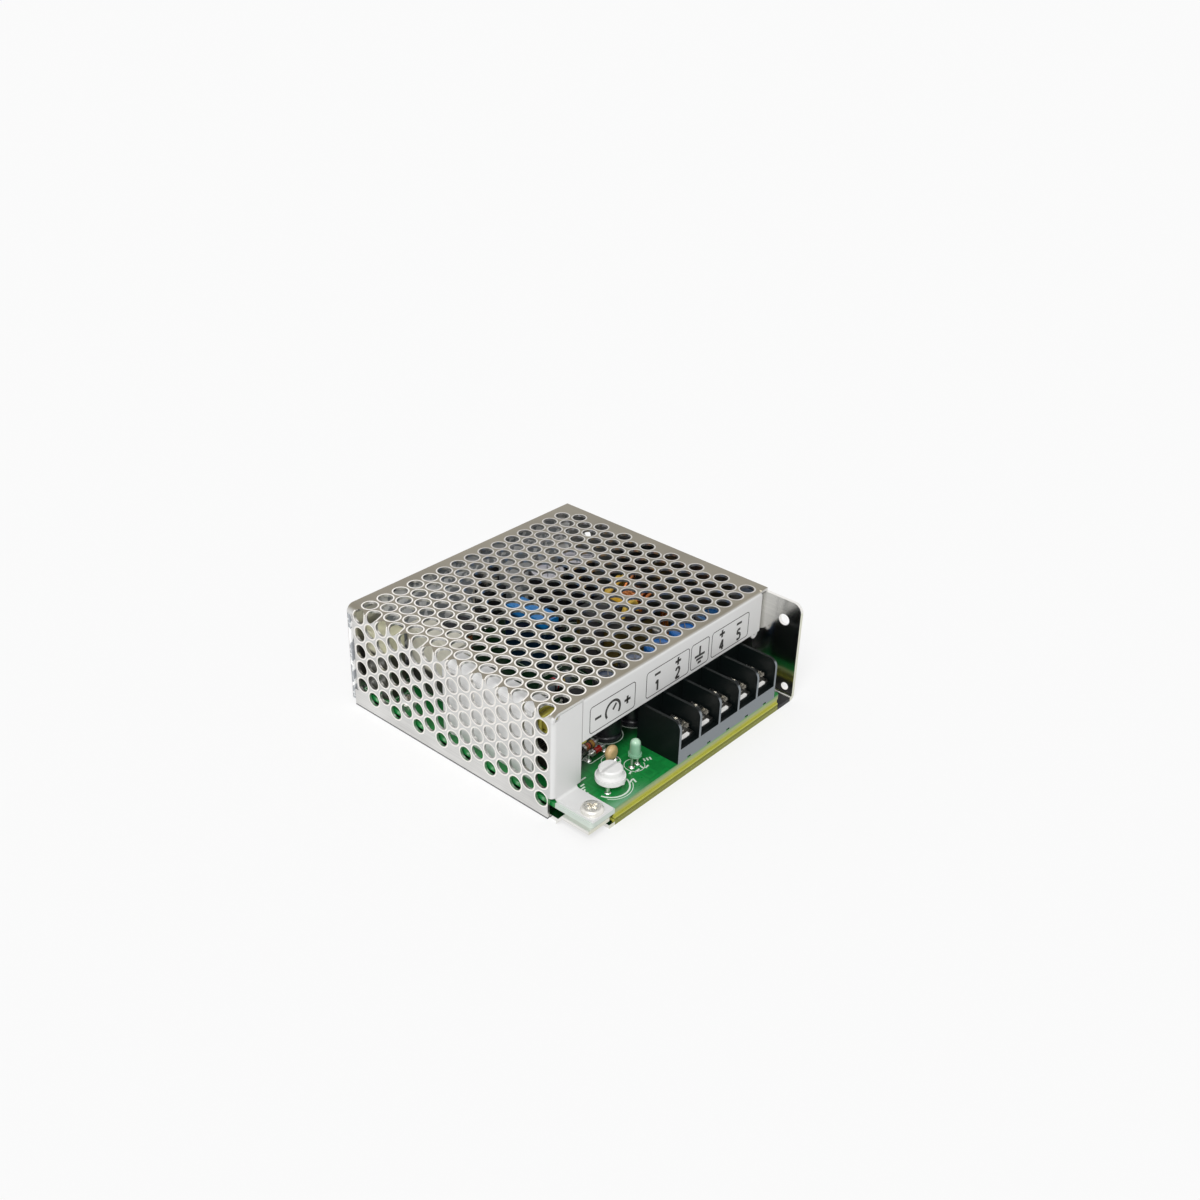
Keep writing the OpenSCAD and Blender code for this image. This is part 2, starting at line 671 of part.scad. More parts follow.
// Floor, right wall and back wall folded from one sheet, with pressed standoffs and a raised corner tab
module chassis() color("gainsboro") difference() {
    union() {
        slab([floor_x0, face_y - slope_gap, 0], [half_w - chassis_out, half_l - chassis_out, chassis_t]);
        slab([-half_w + raised_w, -half_l, 0], [half_w - chassis_out, face_y, chassis_t]);
        raised_tab();
        right_wall();
        back_wall();
        at_each(posts) cylinder(h = standoff_h, r1 = boss_r + boss_flare, r2 = boss_r);
    }
    at_each(posts) {
        translate([0, 0, -over]) cylinder(h = standoff_h - chassis_t + over, r1 = boss_r + boss_flare / 2,
            r2 = boss_r - chassis_t / 2);
        cylinder(h = standoff_h + over, d = screw_d + 2 * thread_clear);
    }
    for (x = [-1, 1] * base_hole_x / 2, y = [-1, 1] * base_hole_y / 2)
        translate([x, y, -over]) cylinder(h = chassis_t + 2 * over, d = base_hole_d);
    translate([cover_screw_at[0], cover_screw_at[1], 0])
        cylinder(h = standoff_h + over, d = screw_d + 2 * thread_clear);
}

// The front left corner of the floor, raised to carry the board
module raised_tab() along_x(-half_w, -half_w + raised_w) {
    lift = standoff_h - chassis_t;
    foot = face_y - slope_gap;
    polygon([[foot, 0], [foot, chassis_t], [foot - slope_l, standoff_h], [-half_l, standoff_h],
             [-half_l, lift], [foot - slope_l, lift]]);
}

module right_wall() {
    translate([half_w - chassis_out, -half_l, chassis_out]) rotate([-90, 0, 0]) bend(bend_r, chassis_t, case_l);
    difference() {
        along_x(half_w - chassis_t, half_w) difference() {
            union() {
                patch([-half_l, chassis_out], [half_l, wall_top - wall_corner_r]);
                patch([-half_l + wall_corner_r, chassis_out], [half_l, wall_top]);
                translate([-half_l + wall_corner_r, wall_top - wall_corner_r]) circle(wall_corner_r);
            }
            for (y = [0, side_hole_step])
                translate([-half_l + side_hole_front + y, side_hole_z]) circle(d = side_hole_d);
            translate([-half_l + pilot_front, pilot_z]) circle(d = pilot_d);
        }
        at_ear_screw() flush_hole();
    }
}

module back_wall() {
    wall_x1 = right_face;
    translate([floor_x0, half_l - chassis_out, chassis_out]) rotate([0, 90, 0])
        bend(bend_r, chassis_t, half_w - chassis_out - floor_x0);
    difference() {
        union() {
            slab([-half_w, half_l - chassis_t, chassis_out],
                 [wall_x1, half_l, case_h - edge_out - sheet_gap]);
            slab([-half_w + edge_out + sheet_gap, half_l - chassis_t, chassis_out], [wall_x1, half_l, wall_top]);
        }
        at_back_screw() flush_hole();
        translate([switch_at[0], half_l - chassis_t - over, device_hole_z]) rotate([-90, 0, 0])
            cylinder(h = chassis_t + 2 * over, d = screw_d + 2 * thread_clear);
    }
}

// The perforated cover, folded from one sheet
module cover() color("silver") difference() {
    union() {
        translate([0, 0, case_h - cover_t]) linear_extrude(cover_t) difference() {
            union() {
                patch([-half_w + edge_out, face_y], [strip_x0, half_l]);
                patch([strip_x0, face_y + fold_out], [strip_x1, half_l]);
                patch([strip_x1, face_y], [half_w, half_l]);
            }
            for (k = [0 : len(row_y) - 1], x = k % 2 == 0 ? top_x_even : top_x_odd)
                translate([x, row_y[k]]) circle(d = hole_d);
        }
        along_x(-half_w, -half_w + cover_t) difference() {
            patch([face_y + fold_out, 0], [back_face - fold_out, case_h - edge_out]);
            for (k = [0 : len(row_y) - 1], z = k % 2 == 0 ? wall_z_even : wall_z_odd)
                translate([row_y[k], z]) circle(d = hole_d);
        }
        translate([-half_w + edge_out, half_l, case_h - edge_out]) rotate([90, 0, 0]) mirror([1, 0, 0])
            bend(edge_r, cover_t, half_l - face_y);
        front_flange();
        back_flange();
        label_strip();
    }
    for (k = [0 : len(row_y) - 1]) translate([-half_w + edge_out, row_y[k], case_h - edge_out]) {
        rotate([0, k % 2 == 0 ? -edge_tilt_even : -edge_tilt_odd, 0]) cylinder(h = edge_out + over, d = hole_d);
        if (k % 2 == 1) translate([odd_left - edge_out, 0, 0]) cylinder(h = edge_out + over, d = hole_d);
    }
    translate([strip_x1 - lug_inset, face_y - over, strip_z0 - lug_hole_d / 2]) rotate([-90, 0, 0])
        cylinder(h = cover_t + 2 * over, d = lug_hole_d);
    translate([cover_screw_at[0], cover_screw_at[1], board_top - over])
        cylinder(h = cover_t + 2 * over, d = screw_d + 2 * pass_clear);
    at_ear_screw() translate([0, 0, -chassis_t - fold_out]) cylinder(h = fold_out, d = screw_d + 2 * thread_clear);
    at_back_screw() translate([0, 0, -chassis_t - fold_out]) cylinder(h = fold_out, d = screw_d + 2 * thread_clear);
}

// The flange at the cover's front left corner and the tab that its screw holds down
module front_flange() {
    z0 = tab_top + bend_r;
    bend_z = case_h - edge_out;
    translate([-half_w + fold_out, face_y + fold_out, z0]) rotate(180) bend(bend_r, cover_t, bend_z - z0);
    slab([-half_w + fold_out, face_y, z0], [-half_w + flange_w, face_y + cover_t, bend_z]);
    slab([-half_w + edge_out + sheet_gap, face_y, z0], [-half_w + flange_w, face_y + cover_t, wall_top - sheet_gap]);
    translate([tab_x0, face_y - bend_r, z0]) rotate([0, 90, 0]) bend(bend_r, cover_t, tab_w);
    slab([tab_x0, -half_l + board_inset, board_top], [tab_x1, face_y - bend_r, tab_top]);
}

// The flange at the cover's back left corner
module back_flange() {
    z0 = board_top + board_gap;
    z1 = case_h - edge_out;
    translate([-half_w + fold_out, back_face - fold_out, z0]) rotate(90) bend(bend_r, cover_t, z1 - z0);
    slab([-half_w + fold_out, back_face - cover_t, z0], [-half_w + flange_w, back_face, z1]);
    slab([-half_w, back_face - fold_out - over, z0], [-half_w + cover_t, back_face - fold_out, z1]);
    slab([-half_w, back_face - fold_out - over, 0], [-half_w + cover_t, back_face, z0 - slit_w]);
}

// The label strip folded down in front, with its lug and the ear that runs back along the right wall
module label_strip() {
    z1 = case_h - fold_out;
    ear_z1 = z1 - sheet_gap;
    translate([strip_x1, face_y + fold_out, z1]) rotate([0, -90, 0]) mirror([0, 1, 0])
        bend(bend_r, cover_t, strip_x1 - strip_x0);
    slab([strip_x0, face_y, strip_z0], [strip_x1, face_y + cover_t, z1]);
    translate([strip_x1, face_y + fold_out, strip_z0]) rotate(-90) bend(bend_r, cover_t, ear_z1 - strip_z0);
    slab([right_face - cover_t, face_y + fold_out, strip_z0], [right_face, face_y + ear_l, ear_z1]);
    translate([strip_x1 - lug_inset, face_y + cover_t, strip_z0]) rotate([90, 0, 0])
        cylinder(h = cover_t, r = lug_r);
}

// Yellow film that keeps the board's leads off the floor, folded up and hemmed at the front
module insulating_film() color("gold") {
    x0 = -half_w + raised_w + film_left;
    x1 = board_x1 - film_clear;
    y0 = -half_l + film_inset;
    translate([0, 0, chassis_t]) linear_extrude(film_t) difference() {
        patch([x0, y0], [x1, half_l - chassis_out - film_clear]);
        for (p = posts) translate(p) film_notch(p[0] < 0 ? -half_w : half_w, boss_r + boss_flare + film_clear);
        for (x = [-1, 1] * base_hole_x / 2, y = [-1, 1] * base_hole_y / 2)
            translate([x, y]) circle(d = base_hole_d + 2 * film_clear);
    }
    slab([x0, y0 + film_t, chassis_t], [x1, y0 + 2 * film_t, standoff_h - film_lip_gap]);
    slab([x0, y0, chassis_t], [x1, y0 + film_t + over, chassis_t + film_hem]);
}

// A round notch that runs out to the film's side edge
module film_notch(reach, r) {
    circle(r);
    patch([min(0, reach), -r], [max(0, reach), r]);
}

module circuit_board() color("forestgreen") translate([0, 0, standoff_h]) linear_extrude(board_t) difference() {
    round_patch([board_x0, board_y0], [board_x1, board_y1], board_r);
    at_each(all_leads) circle(d = lead_hole_d, $fn = 16);
    at_each(concat(posts, [cover_screw_at])) circle(d = screw_d + 2 * pass_clear);
}

// Moulded block: a stepped base, a back wall and a divider between every two terminals
module terminal_housing() color("#15181a") difference() {
    union() {
        along_x(block_x0, block_x1) {
            patch([board_y0, board_top], [block_y1, board_top + lip_h]);
            patch([board_y0 + lip_l, board_top], [block_y1, seat_z]);
            patch([block_y1 - block_back_t, board_top], [block_y1, block_top]);
        }
        for (i = [0 : poles]) {
            x = block_x0 + i * pole_pitch;
            along_x(x, x + divider_t) divider_outline();
        }
    }
    for (i = [0 : poles - 1]) translate([pole_x(i), 0, 0]) {
        translate([0, pole_at_y, clamp_top - terminal_len - over])
            cylinder(h = terminal_len, d = screw_d + 2 * pass_clear);
        slab([-lead_d - coil_clear, contact_back - contact_t - coil_clear, board_top - over],
             [lead_d + coil_clear, contact_back + coil_clear, seat_z + over]);
        slab([-notch_w / 2, board_y0 - over, board_top - over], [notch_w / 2, board_y0 + over, board_top + notch_h]);
    }
}

// Side outline of a divider, rounded at its front top corner
module divider_outline() {
    patch([board_y0, board_top], [block_y1, block_top - divider_r]);
    patch([board_y0 + divider_r, board_top], [block_y1, block_top]);
    translate([board_y0 + divider_r, block_top - divider_r]) circle(divider_r);
}

// One tapped contact strip on each seat, with a leg down to the board
module terminal_contacts() color("lightgray") for (i = [0 : poles - 1]) translate([pole_x(i), 0, 0]) {
    difference() {
        slab([-contact_w / 2, board_y0 + lip_l + coil_clear, seat_z], [contact_w / 2, contact_back, contact_top]);
        translate([0, pole_at_y, seat_z - over])
            cylinder(h = contact_t + 2 * over, d = screw_d + 2 * thread_clear);
    }
    slab([-lead_d, contact_back - contact_t, board_top], [lead_d, contact_back, seat_z]);
    translate([0, contact_back - contact_t / 2, 0]) lead(board_top);
}

// Square clamp plate with both sides turned up, held under its screw's head
module terminal_clamp(i) color("whitesmoke") translate([pole_x(i), pole_at_y, contact_top])
    difference() {
        union() {
            slab([-clamp_w / 2, -clamp_l / 2, 0], [clamp_w / 2, clamp_l / 2, clamp_t]);
            for (s = [0, 1]) mirror([s, 0, 0])
                slab([clamp_w / 2 - clamp_t / 2, -clamp_l / 2, 0], [clamp_w / 2, clamp_l / 2, clamp_t + clamp_rim]);
        }
        translate([0, 0, -over]) cylinder(h = clamp_t + 2 * over, d = screw_d + 2 * thread_clear);
    }

module terminal_screw(i) color("whitesmoke")
    translate([pole_x(i), pole_at_y, clamp_top]) pan_screw(terminal_head_d, terminal_len);

// Trimmer: a round base on three legs, and the knob that turns in it
module trimmer_base() color("ivory") {
    z0 = board_top + trimmer_stand;
    difference() {
        translate([trimmer_at[0], trimmer_at[1], z0]) cylinder(h = trimmer_base_t, d = trimmer_base_d);
        translate([trimmer_at[0], trimmer_at[1], z0 - over])
            cylinder(h = trimmer_base_t + 2 * over, d = spindle_d + 2 * knob_clear);
    }
    at_each(trimmer_legs) lead(z0);
    at_each(trimmer_legs) translate([0, 0, board_top]) cylinder(h = trimmer_stand, d = 2 * lead_d);
}

module trimmer_knob() color("white") {
    z0 = board_top + trimmer_stand + trimmer_base_t + knob_clear;
    skirt = (trimmer_base_d - knob_d) / 2;
    translate([trimmer_at[0], trimmer_at[1], 0]) difference() {
        union() {
            translate([0, 0, z0]) rotate_extrude() polygon([[0, 0], [knob_d / 2 + skirt / 2, 0],
                [knob_d / 2, skirt], [knob_d / 2, knob_h - skirt / 2], [knob_d / 2 - skirt / 2, knob_h], [0, knob_h]]);
            translate([0, 0, board_top + trimmer_stand])
                cylinder(h = trimmer_base_t + over, d = spindle_d);
        }
        slab([-knob_d, -slot_w / 2, z0 + knob_h - slot_deep], [knob_d, slot_w / 2, z0 + knob_h + over]);
    }
}

// Round lamp with a rim, standing on its leads
module indicator_lamp() color("palegreen") {
    z0 = board_top + lamp_stand;
    translate([lamp_at[0], lamp_at[1], z0]) {
        cylinder(h = 2 * lamp_rim, d = lamp_d + 2 * lamp_rim);
        cylinder(h = lamp_h - lamp_d / 2, d = lamp_d);
        translate([0, 0, lamp_h - lamp_d / 2]) sphere(d = lamp_d);
    }
    at_each(lamp_leads) lead(z0 + lamp_rim);
}

// Transformer: two E cores seen as one frame, a bobbin with pins, and the taped winding
core_z = board_top + bobbin_t / 2;
coil_z0 = core_z + yoke_t + coil_clear;
coil_z1 = core_z + core_h - yoke_t - coil_clear;
coil_half_w = core_w / 2 - yoke_t - coil_clear;
tube_w = leg_w / 2 + coil_clear + bobbin_t;
tube_l = core_l / 2 + coil_clear + bobbin_t;

module transformer_core() color("dimgray") translate([transformer_at[0], transformer_at[1] + core_l / 2, core_z])
    rotate([90, 0, 0]) linear_extrude(core_l) difference() {
        patch([-core_w / 2, 0], [core_w / 2, core_h]);
        for (s = [0, 1]) mirror([s, 0])
            patch([leg_w / 2, yoke_t], [core_w / 2 - yoke_t, core_h - yoke_t]);
    }

module transformer_bobbin() color("#2b2b2b") {
    translate([transformer_at[0], transformer_at[1], 0]) difference() {
        union() {
            for (z = [coil_z0, coil_z1 - bobbin_t])
                slab([-coil_half_w, -winding_l / 2, z], [coil_half_w, winding_l / 2, z + bobbin_t]);
            slab([-tube_w, -tube_l, coil_z0], [tube_w, tube_l, coil_z1]);
            for (s = [0, 1]) mirror([0, s, 0]) slab([-coil_half_w, core_l / 2 + 2 * coil_clear, board_top],
                [coil_half_w, winding_l / 2, coil_z0 + bobbin_t]);
        }
        slab([-tube_w + bobbin_t, -tube_l + bobbin_t, coil_z0 - over],
             [tube_w - bobbin_t, tube_l - bobbin_t, coil_z1 + over]);
    }
    at_each(transformer_pins) lead(board_top + bobbin_t);
}

module transformer_winding() color("gold") translate([transformer_at[0], transformer_at[1], coil_z0 + bobbin_t])
    linear_extrude(coil_z1 - coil_z0 - 2 * bobbin_t) difference() {
        round_patch([-coil_half_w + coil_clear, -winding_l / 2 + coil_clear],
                    [coil_half_w - coil_clear, winding_l / 2 - coil_clear], winding_r);
        patch([-tube_w, -tube_l], [tube_w, tube_l]);
    }

// Output choke: a ring standing on edge, wound with thick wire
module output_choke_core() color("khaki") translate([ring_at[0], ring_at[1], ring_z]) rotate([0, 90, 0])
    rotate_extrude() round_patch([ring_bore / 2, -ring_t / 2], [ring_d / 2, ring_t / 2], ring_edge_r);

// The wire is carried round the ring's section while the section turns about the ring's axis
wire_sides = 6;
wire_steps = 10;
wire_count = ring_turns * wire_steps;
ring_mid = (ring_d + ring_bore) / 4;
wire_reach_r = (ring_d - ring_bore) / 4 + ring_wire / 2 + coil_clear;
wire_reach_x = ring_t / 2 + ring_wire / 2 + coil_clear;
function unit(v) = v / norm(v);
function squared(v) = sign(v) * sqrt(abs(v));
function wire_at(i) = let (a = 360 * i / wire_steps, b = 90 + wire_arc * (i / wire_count - 0.5),
    r = ring_mid + wire_reach_r * squared(cos(a))) [wire_reach_x * squared(sin(a)), r * cos(b), r * sin(b)];
function wire_ring(i) = let (p = wire_at(i), t = unit(wire_at(i + 1) - wire_at(i - 1)),
    out = p - ring_mid * unit([0, p[1], p[2]]), u = unit(cross(t, out)), v = cross(t, u))
    [for (s = [0 : wire_sides - 1]) let (a = 360 * s / wire_sides) p + ring_wire / 2 * (cos(a) * u + sin(a) * v)];
wire_points = [for (i = [0 : wire_count]) each wire_ring(i)];
wire_skin = [for (i = [0 : wire_count - 1], s = [0 : wire_sides - 1])
    let (a = i * wire_sides + s, b = i * wire_sides + (s + 1) % wire_sides)
    each [[a, b + wire_sides, b], [a, a + wire_sides, b + wire_sides]]];
wire_ends = [[for (s = [0 : wire_sides - 1]) s],
             [for (s = [wire_sides - 1 : -1 : 0]) wire_count * wire_sides + s]];

module output_choke_winding() color("peru") {
    translate([ring_at[0], ring_at[1], ring_z]) polyhedron(wire_points, concat(wire_skin, wire_ends));
    at_each(ring_leads) lead(ring_z - wire_end_r * sin(wire_end_a));
}

// Input choke: a drum core with its winding
drum_coil_z = board_top + drum_flange;
drum_coil_h = drum_h - 2 * drum_flange;

module input_choke_core() color("dimgray") {
    translate([drum_at[0], drum_at[1], board_top]) rotate_extrude() {
        square([drum_waist / 2, drum_h]);
        square([drum_d / 2, drum_flange]);
        translate([0, drum_h - drum_flange]) square([drum_d / 2, drum_flange]);
    }
    at_each(drum_leads) lead(board_top + lead_d);
}

// Layers of round wire, seen as one solid with a groove between every two turns
module input_choke_winding() color("peru") translate([drum_at[0], drum_at[1], drum_coil_z]) rotate_extrude() {
    turns = floor((drum_coil_h - 2 * coil_clear) / drum_wire);
    z0 = (drum_coil_h - turns * drum_wire) / 2;
    r1 = drum_d / 2 - drum_wire;
    patch([drum_waist / 2 + coil_clear, z0 + drum_wire / 2], [r1, z0 + (turns - 0.5) * drum_wire]);
    for (i = [0 : turns - 1]) translate([r1, z0 + (i + 0.5) * drum_wire]) circle(d = drum_wire, $fn = 24);
}

// A round capacitor: crimped can, rounded shoulder and a shallow dished top
module electrolytic(at, d, h) {
    shoulder = d / 12;
    crimp = d / 5;
    translate([at[0], at[1], board_top]) rotate_extrude() {
        difference() {
            union() {
                square([d / 2, h - shoulder]);
                square([d / 2 - shoulder, h]);
                intersection() {
                    translate([d / 2 - shoulder, h - shoulder]) circle(shoulder);
                    square([d / 2, h]);
                }
            }
            translate([d / 2 + shoulder / 2, crimp]) circle(shoulder);
            patch([-over, h - shoulder / 2], [d / 2 - 2 * shoulder, h + over]);
        }
    }
    at_each(cap_leads(at, d)) lead(board_top + lead_d);
}

module output_capacitor(i) color("royalblue")
    electrolytic(output_cap_at(i), output_cap_d, output_cap_h);
module input_capacitor(i) color("#202428") electrolytic(input_cap_at(i), input_cap_d, input_cap_h);
module small_capacitor() color("#181a20") electrolytic(small_cap_at, small_cap_d, small_cap_h);

// A dipped or boxed capacitor with rounded upright edges
module box_capacitor(at, size, leads) {
    translate([0, 0, board_top]) linear_extrude(size[2])
        round_patch(at - [size[0], size[1]] / 2, at + [size[0], size[1]] / 2, film_cap_r);
    at_each(leads) lead(board_top + lead_d);
}

module blue_film_capacitor() color("dodgerblue") box_capacitor(blue_cap_at, blue_cap, blue_leads);
module cream_film_capacitor() color("beige") box_capacitor(cream_cap_at, cream_cap, cream_leads);
module yellow_film_capacitor() color("goldenrod") box_capacitor(yellow_cap_at, yellow_cap, yellow_leads);

module disc_capacitor() color("tan") {
    translate([disc_at[0], disc_at[1] + disc_t / 2, board_top + axial_stand + disc_d / 2]) rotate([90, 0, 0])
        rotate_extrude() {
            square([disc_d / 2 - disc_t / 2, disc_t]);
            intersection() {
                translate([disc_d / 2 - disc_t / 2, disc_t / 2]) circle(d = disc_t);
                square([disc_d / 2, disc_t]);
            }
        }
    at_each(disc_leads) lead(board_top + axial_stand + disc_d / 2);
}

// Heat sink: an upright plate with a folded lip and two pins in the board
module heat_sink() color("lightgray") difference() {
    union() {
        slab([sink_x0, sink_y0, board_top], [sink_x1, sink_y1, board_top + sink_h - sink_t]);
        translate([sink_x0 + 2 * sink_t, sink_y1, board_top + sink_h - 2 * sink_t]) rotate([90, 0, 0])
            mirror([1, 0, 0]) bend(sink_t, sink_t, sink_l);
        slab([sink_x0 + 2 * sink_t, sink_y0, board_top + sink_h - sink_t],
             [sink_x0 + sink_t + sink_lip, sink_y1, board_top + sink_h]);
        at_each(sink_pins) lead(board_top + lead_d);
    }
    slab([sink_x0 - over, sink_y0 - over, board_top + sink_h - 2 * sink_t],
         [sink_x0, sink_y1 + over, board_top + sink_h]);
    translate([sink_x0 - over, rectifier_at[1], device_hole_z]) rotate([0, 90, 0])
        cylinder(h = sink_t + 2 * over, d = screw_d + 2 * thread_clear);
}

// A tab-mounted power device, its tab against the plane y = 0 and its body towards -Y
module power_device() {
    difference() {
        slab([-device_w / 2, -device_tab, device_z], [device_w / 2, 0, device_z + device_h]);
        translate([0, -device_tab - over, device_hole_z]) rotate([-90, 0, 0])
            cylinder(h = device_tab + 2 * over, d = screw_d + 2 * pass_clear);
    }
    slab([-device_w / 2, -device_t, device_z], [device_w / 2, -device_tab, device_z + device_body]);
    for (p = row_leads([0, -device_lead], 3, device_step, [1, 0])) translate([p[0], p[1], 0]) lead(device_z + lead_d);
}

// The pad between a power device and what cools it, drawn from y = 0 towards +Y
module device_pad() difference() {
    slab([-device_w / 2 - pad_t, 0, device_z - pad_t], [device_w / 2 + pad_t, pad_t, device_z + device_h + pad_t]);
    translate([0, -over, device_hole_z]) rotate([-90, 0, 0])
        cylinder(h = pad_t + 2 * over, d = screw_d + 2 * pass_clear);
}

// The screw that holds a power device, through tab, pad and a sheet of the given thickness
module device_screw(t) translate([0, -device_tab, device_hole_z]) rotate([90, 0, 0])
    pan_screw(terminal_head_d, device_tab + pad_t + t);

module at_rectifier() translate([rectifier_at[0], rectifier_at[1], 0]) rotate(90) children();
module at_switch() translate([switch_at[0], switch_at[1], 0]) children();

module rectifier() color("#1c1c1e") at_rectifier() power_device();
module rectifier_pad() color("linen") at_rectifier() device_pad();
module rectifier_screw() color("silver") at_rectifier() device_screw(sink_t);
module switch_transistor() color("#1c1c1e") at_switch() power_device();
module switch_pad() color("linen") at_switch() device_pad();
module switch_screw() color("silver") at_switch() device_screw(chassis_t);

// A chip in two rows of leads, with its body just above the board
module chip_body(at, size, leads) {
    shoulder = size[2] / 2;
    translate([at[0], at[1], board_top]) difference() {
        slab([-size[0] / 2, -size[1] / 2, 0], [size[0] / 2, size[1] / 2, size[2]]);
        translate([0, size[1] / 2, size[2] - lead_d]) cylinder(h = lead_d + over, r = lead_d);
    }
    for (p = leads) {
        translate([p[0], p[1], 0]) lead(board_top + shoulder);
        slab([min(p[0], at[0]), p[1] - lead_d / 2, board_top + shoulder - lead_d / 2],
             [max(p[0], at[0]), p[1] + lead_d / 2, board_top + shoulder + lead_d / 2]);
    }
}

module control_chip() color("#1c1c1e") chip_body(chip_at, chip, chip_leads);
module optocoupler() color("white") chip_body(opto_at, opto, opto_leads);

// Glass fuse with metal end caps, held in two spring clips
fuse_z = board_top + clip_t + fuse_d / 2 + coil_clear;

module fuse() color("lightcyan") translate([fuse_at[0], fuse_at[1], fuse_z]) rotate([90, 0, 0]) {
    cylinder(h = fuse_l - fuse_cap, d = fuse_d - 2 * clip_t, center = true);
    for (s = [0, 1]) mirror([0, 0, s]) translate([0, 0, fuse_l / 2 - fuse_cap]) cylinder(h = fuse_cap, d = fuse_d);
}

module fuse_clips() color("silver") for (s = [-1, 1]) translate([fuse_at[0], fuse_at[1] + s * clip_x, 0]) {
    outer = fuse_d / 2 + coil_clear + clip_t;
    mouth_z = fuse_d / 4;
    translate([0, 0, fuse_z]) rotate([90, 0, 0]) linear_extrude(clip_w, center = true) difference() {
        circle(outer);
        circle(outer - clip_t);
        patch([-outer - over, mouth_z], [outer + over, outer + over]);
    }
    lead(board_top + clip_t / 2);
}

// An axial part lying along X on two bent leads, a little thinner between its two ends
module axial_part(at, d, len, leads, waist) {
    z = board_top + axial_stand + d / 2;
    end_l = len / 4;
    translate([at[0], at[1], z]) rotate([0, 90, 0]) {
        cylinder(h = len, d = d - waist, center = true);
        for (s = [0, 1]) mirror([0, 0, s]) translate([0, 0, len / 2 - end_l]) cylinder(h = end_l, d = d);
        cylinder(h = norm(leads[1] - leads[0]) + lead_d, d = lead_d, center = true);
    }
    at_each(leads) lead(z);
}

module glass_diode() color("crimson") axial_part(glass_at, glass_d, glass_l, glass_leads, glass_waist);
module small_resistor() color("sandybrown")
    axial_part(resistor_at, resistor_d, resistor_l, resistor_leads, resistor_waist);
module power_resistor() color("slategray")
    axial_part(power_res_at, power_res_d, power_res_l, power_res_leads, resistor_waist);

// The screw that holds the cover's tab, the board and the raised tab together
module cover_screw() color("whitesmoke") translate([cover_screw_at[0], cover_screw_at[1], tab_top])
    pan_screw(case_head_d, cover_t + board_t + chassis_t, case_head_h);

// Flush screws in the right wall and the back wall
module flush_screws() color("silver") {
    reach = chassis_t + sheet_gap + cover_t;
    at_ear_screw() flush_screw(reach);
    at_back_screw() flush_screw(reach);
}

module board_screws() color("silver") at_each(posts) translate([0, 0, board_top])
    pan_screw(case_head_d, board_t + chassis_t, case_head_h);

chassis();
cover();
insulating_film();
circuit_board();
terminal_housing();
terminal_contacts();
for (i = [1 : poles]) terminal_clamp(i - 1);
for (i = [1 : poles]) terminal_screw(i - 1);
trimmer_base();
trimmer_knob();
indicator_lamp();
transformer_core();
transformer_bobbin();
transformer_winding();
output_choke_core();
output_choke_winding();
input_choke_core();
input_choke_winding();
for (i = [1 : output_caps]) output_capacitor(i - 1);
for (i = [1 : 2]) input_capacitor(i - 1);
small_capacitor();
blue_film_capacitor();
cream_film_capacitor();
yellow_film_capacitor();
disc_capacitor();
heat_sink();
rectifier();
rectifier_pad();
rectifier_screw();
switch_transistor();
switch_pad();
switch_screw();
control_chip();
optocoupler();
fuse();
fuse_clips();
glass_diode();
small_resistor();
power_resistor();
cover_screw();
flush_screws();
board_screws();
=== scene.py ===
"""Looks of an enclosed dc-dc converter: finishes of its solids, its small added pieces and the stage."""

from collections import namedtuple

import bmesh
import bpy
import numpy as np
from bpy.props import FloatProperty, FloatVectorProperty, PointerProperty
from mathutils import Matrix, Vector


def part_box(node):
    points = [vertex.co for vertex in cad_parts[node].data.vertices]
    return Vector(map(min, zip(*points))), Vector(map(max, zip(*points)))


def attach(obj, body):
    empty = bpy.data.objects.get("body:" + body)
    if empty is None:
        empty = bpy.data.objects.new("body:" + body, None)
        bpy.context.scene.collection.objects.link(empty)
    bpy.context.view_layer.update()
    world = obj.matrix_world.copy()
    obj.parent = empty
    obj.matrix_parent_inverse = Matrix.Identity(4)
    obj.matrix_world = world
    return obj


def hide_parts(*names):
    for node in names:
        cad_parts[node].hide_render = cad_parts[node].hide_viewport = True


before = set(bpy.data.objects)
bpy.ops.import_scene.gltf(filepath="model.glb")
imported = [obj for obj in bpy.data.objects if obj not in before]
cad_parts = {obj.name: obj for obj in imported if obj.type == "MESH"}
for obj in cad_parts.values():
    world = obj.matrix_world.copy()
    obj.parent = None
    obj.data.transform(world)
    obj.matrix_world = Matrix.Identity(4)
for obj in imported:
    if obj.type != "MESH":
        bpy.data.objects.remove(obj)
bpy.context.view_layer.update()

bl_info = {
    "name": "Converter looks",
    "version": (1, 0, 0),
    "blender": (4, 5, 0),
    "location": "View3D > Sidebar > Converter",
    "description": "Finishes, small pieces and stage of an enclosed dc-dc converter",
    "category": "Object",
}

MM = 0.001
ROOT = "converter"
X, Y, Z = np.eye(3)

# A point times this keeps its x and y and loses its height
FLAT = X + Y


# Places read from the frame

Span = namedtuple("Span", "low high middle half")


def span(node):
    """Lowest corner, highest corner, middle and half size of a CAD node's box, as arrays in metres."""
    low, high = (np.array(corner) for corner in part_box(node))
    return Span(low, high, (low + high) / 2, (high - low) / 2)


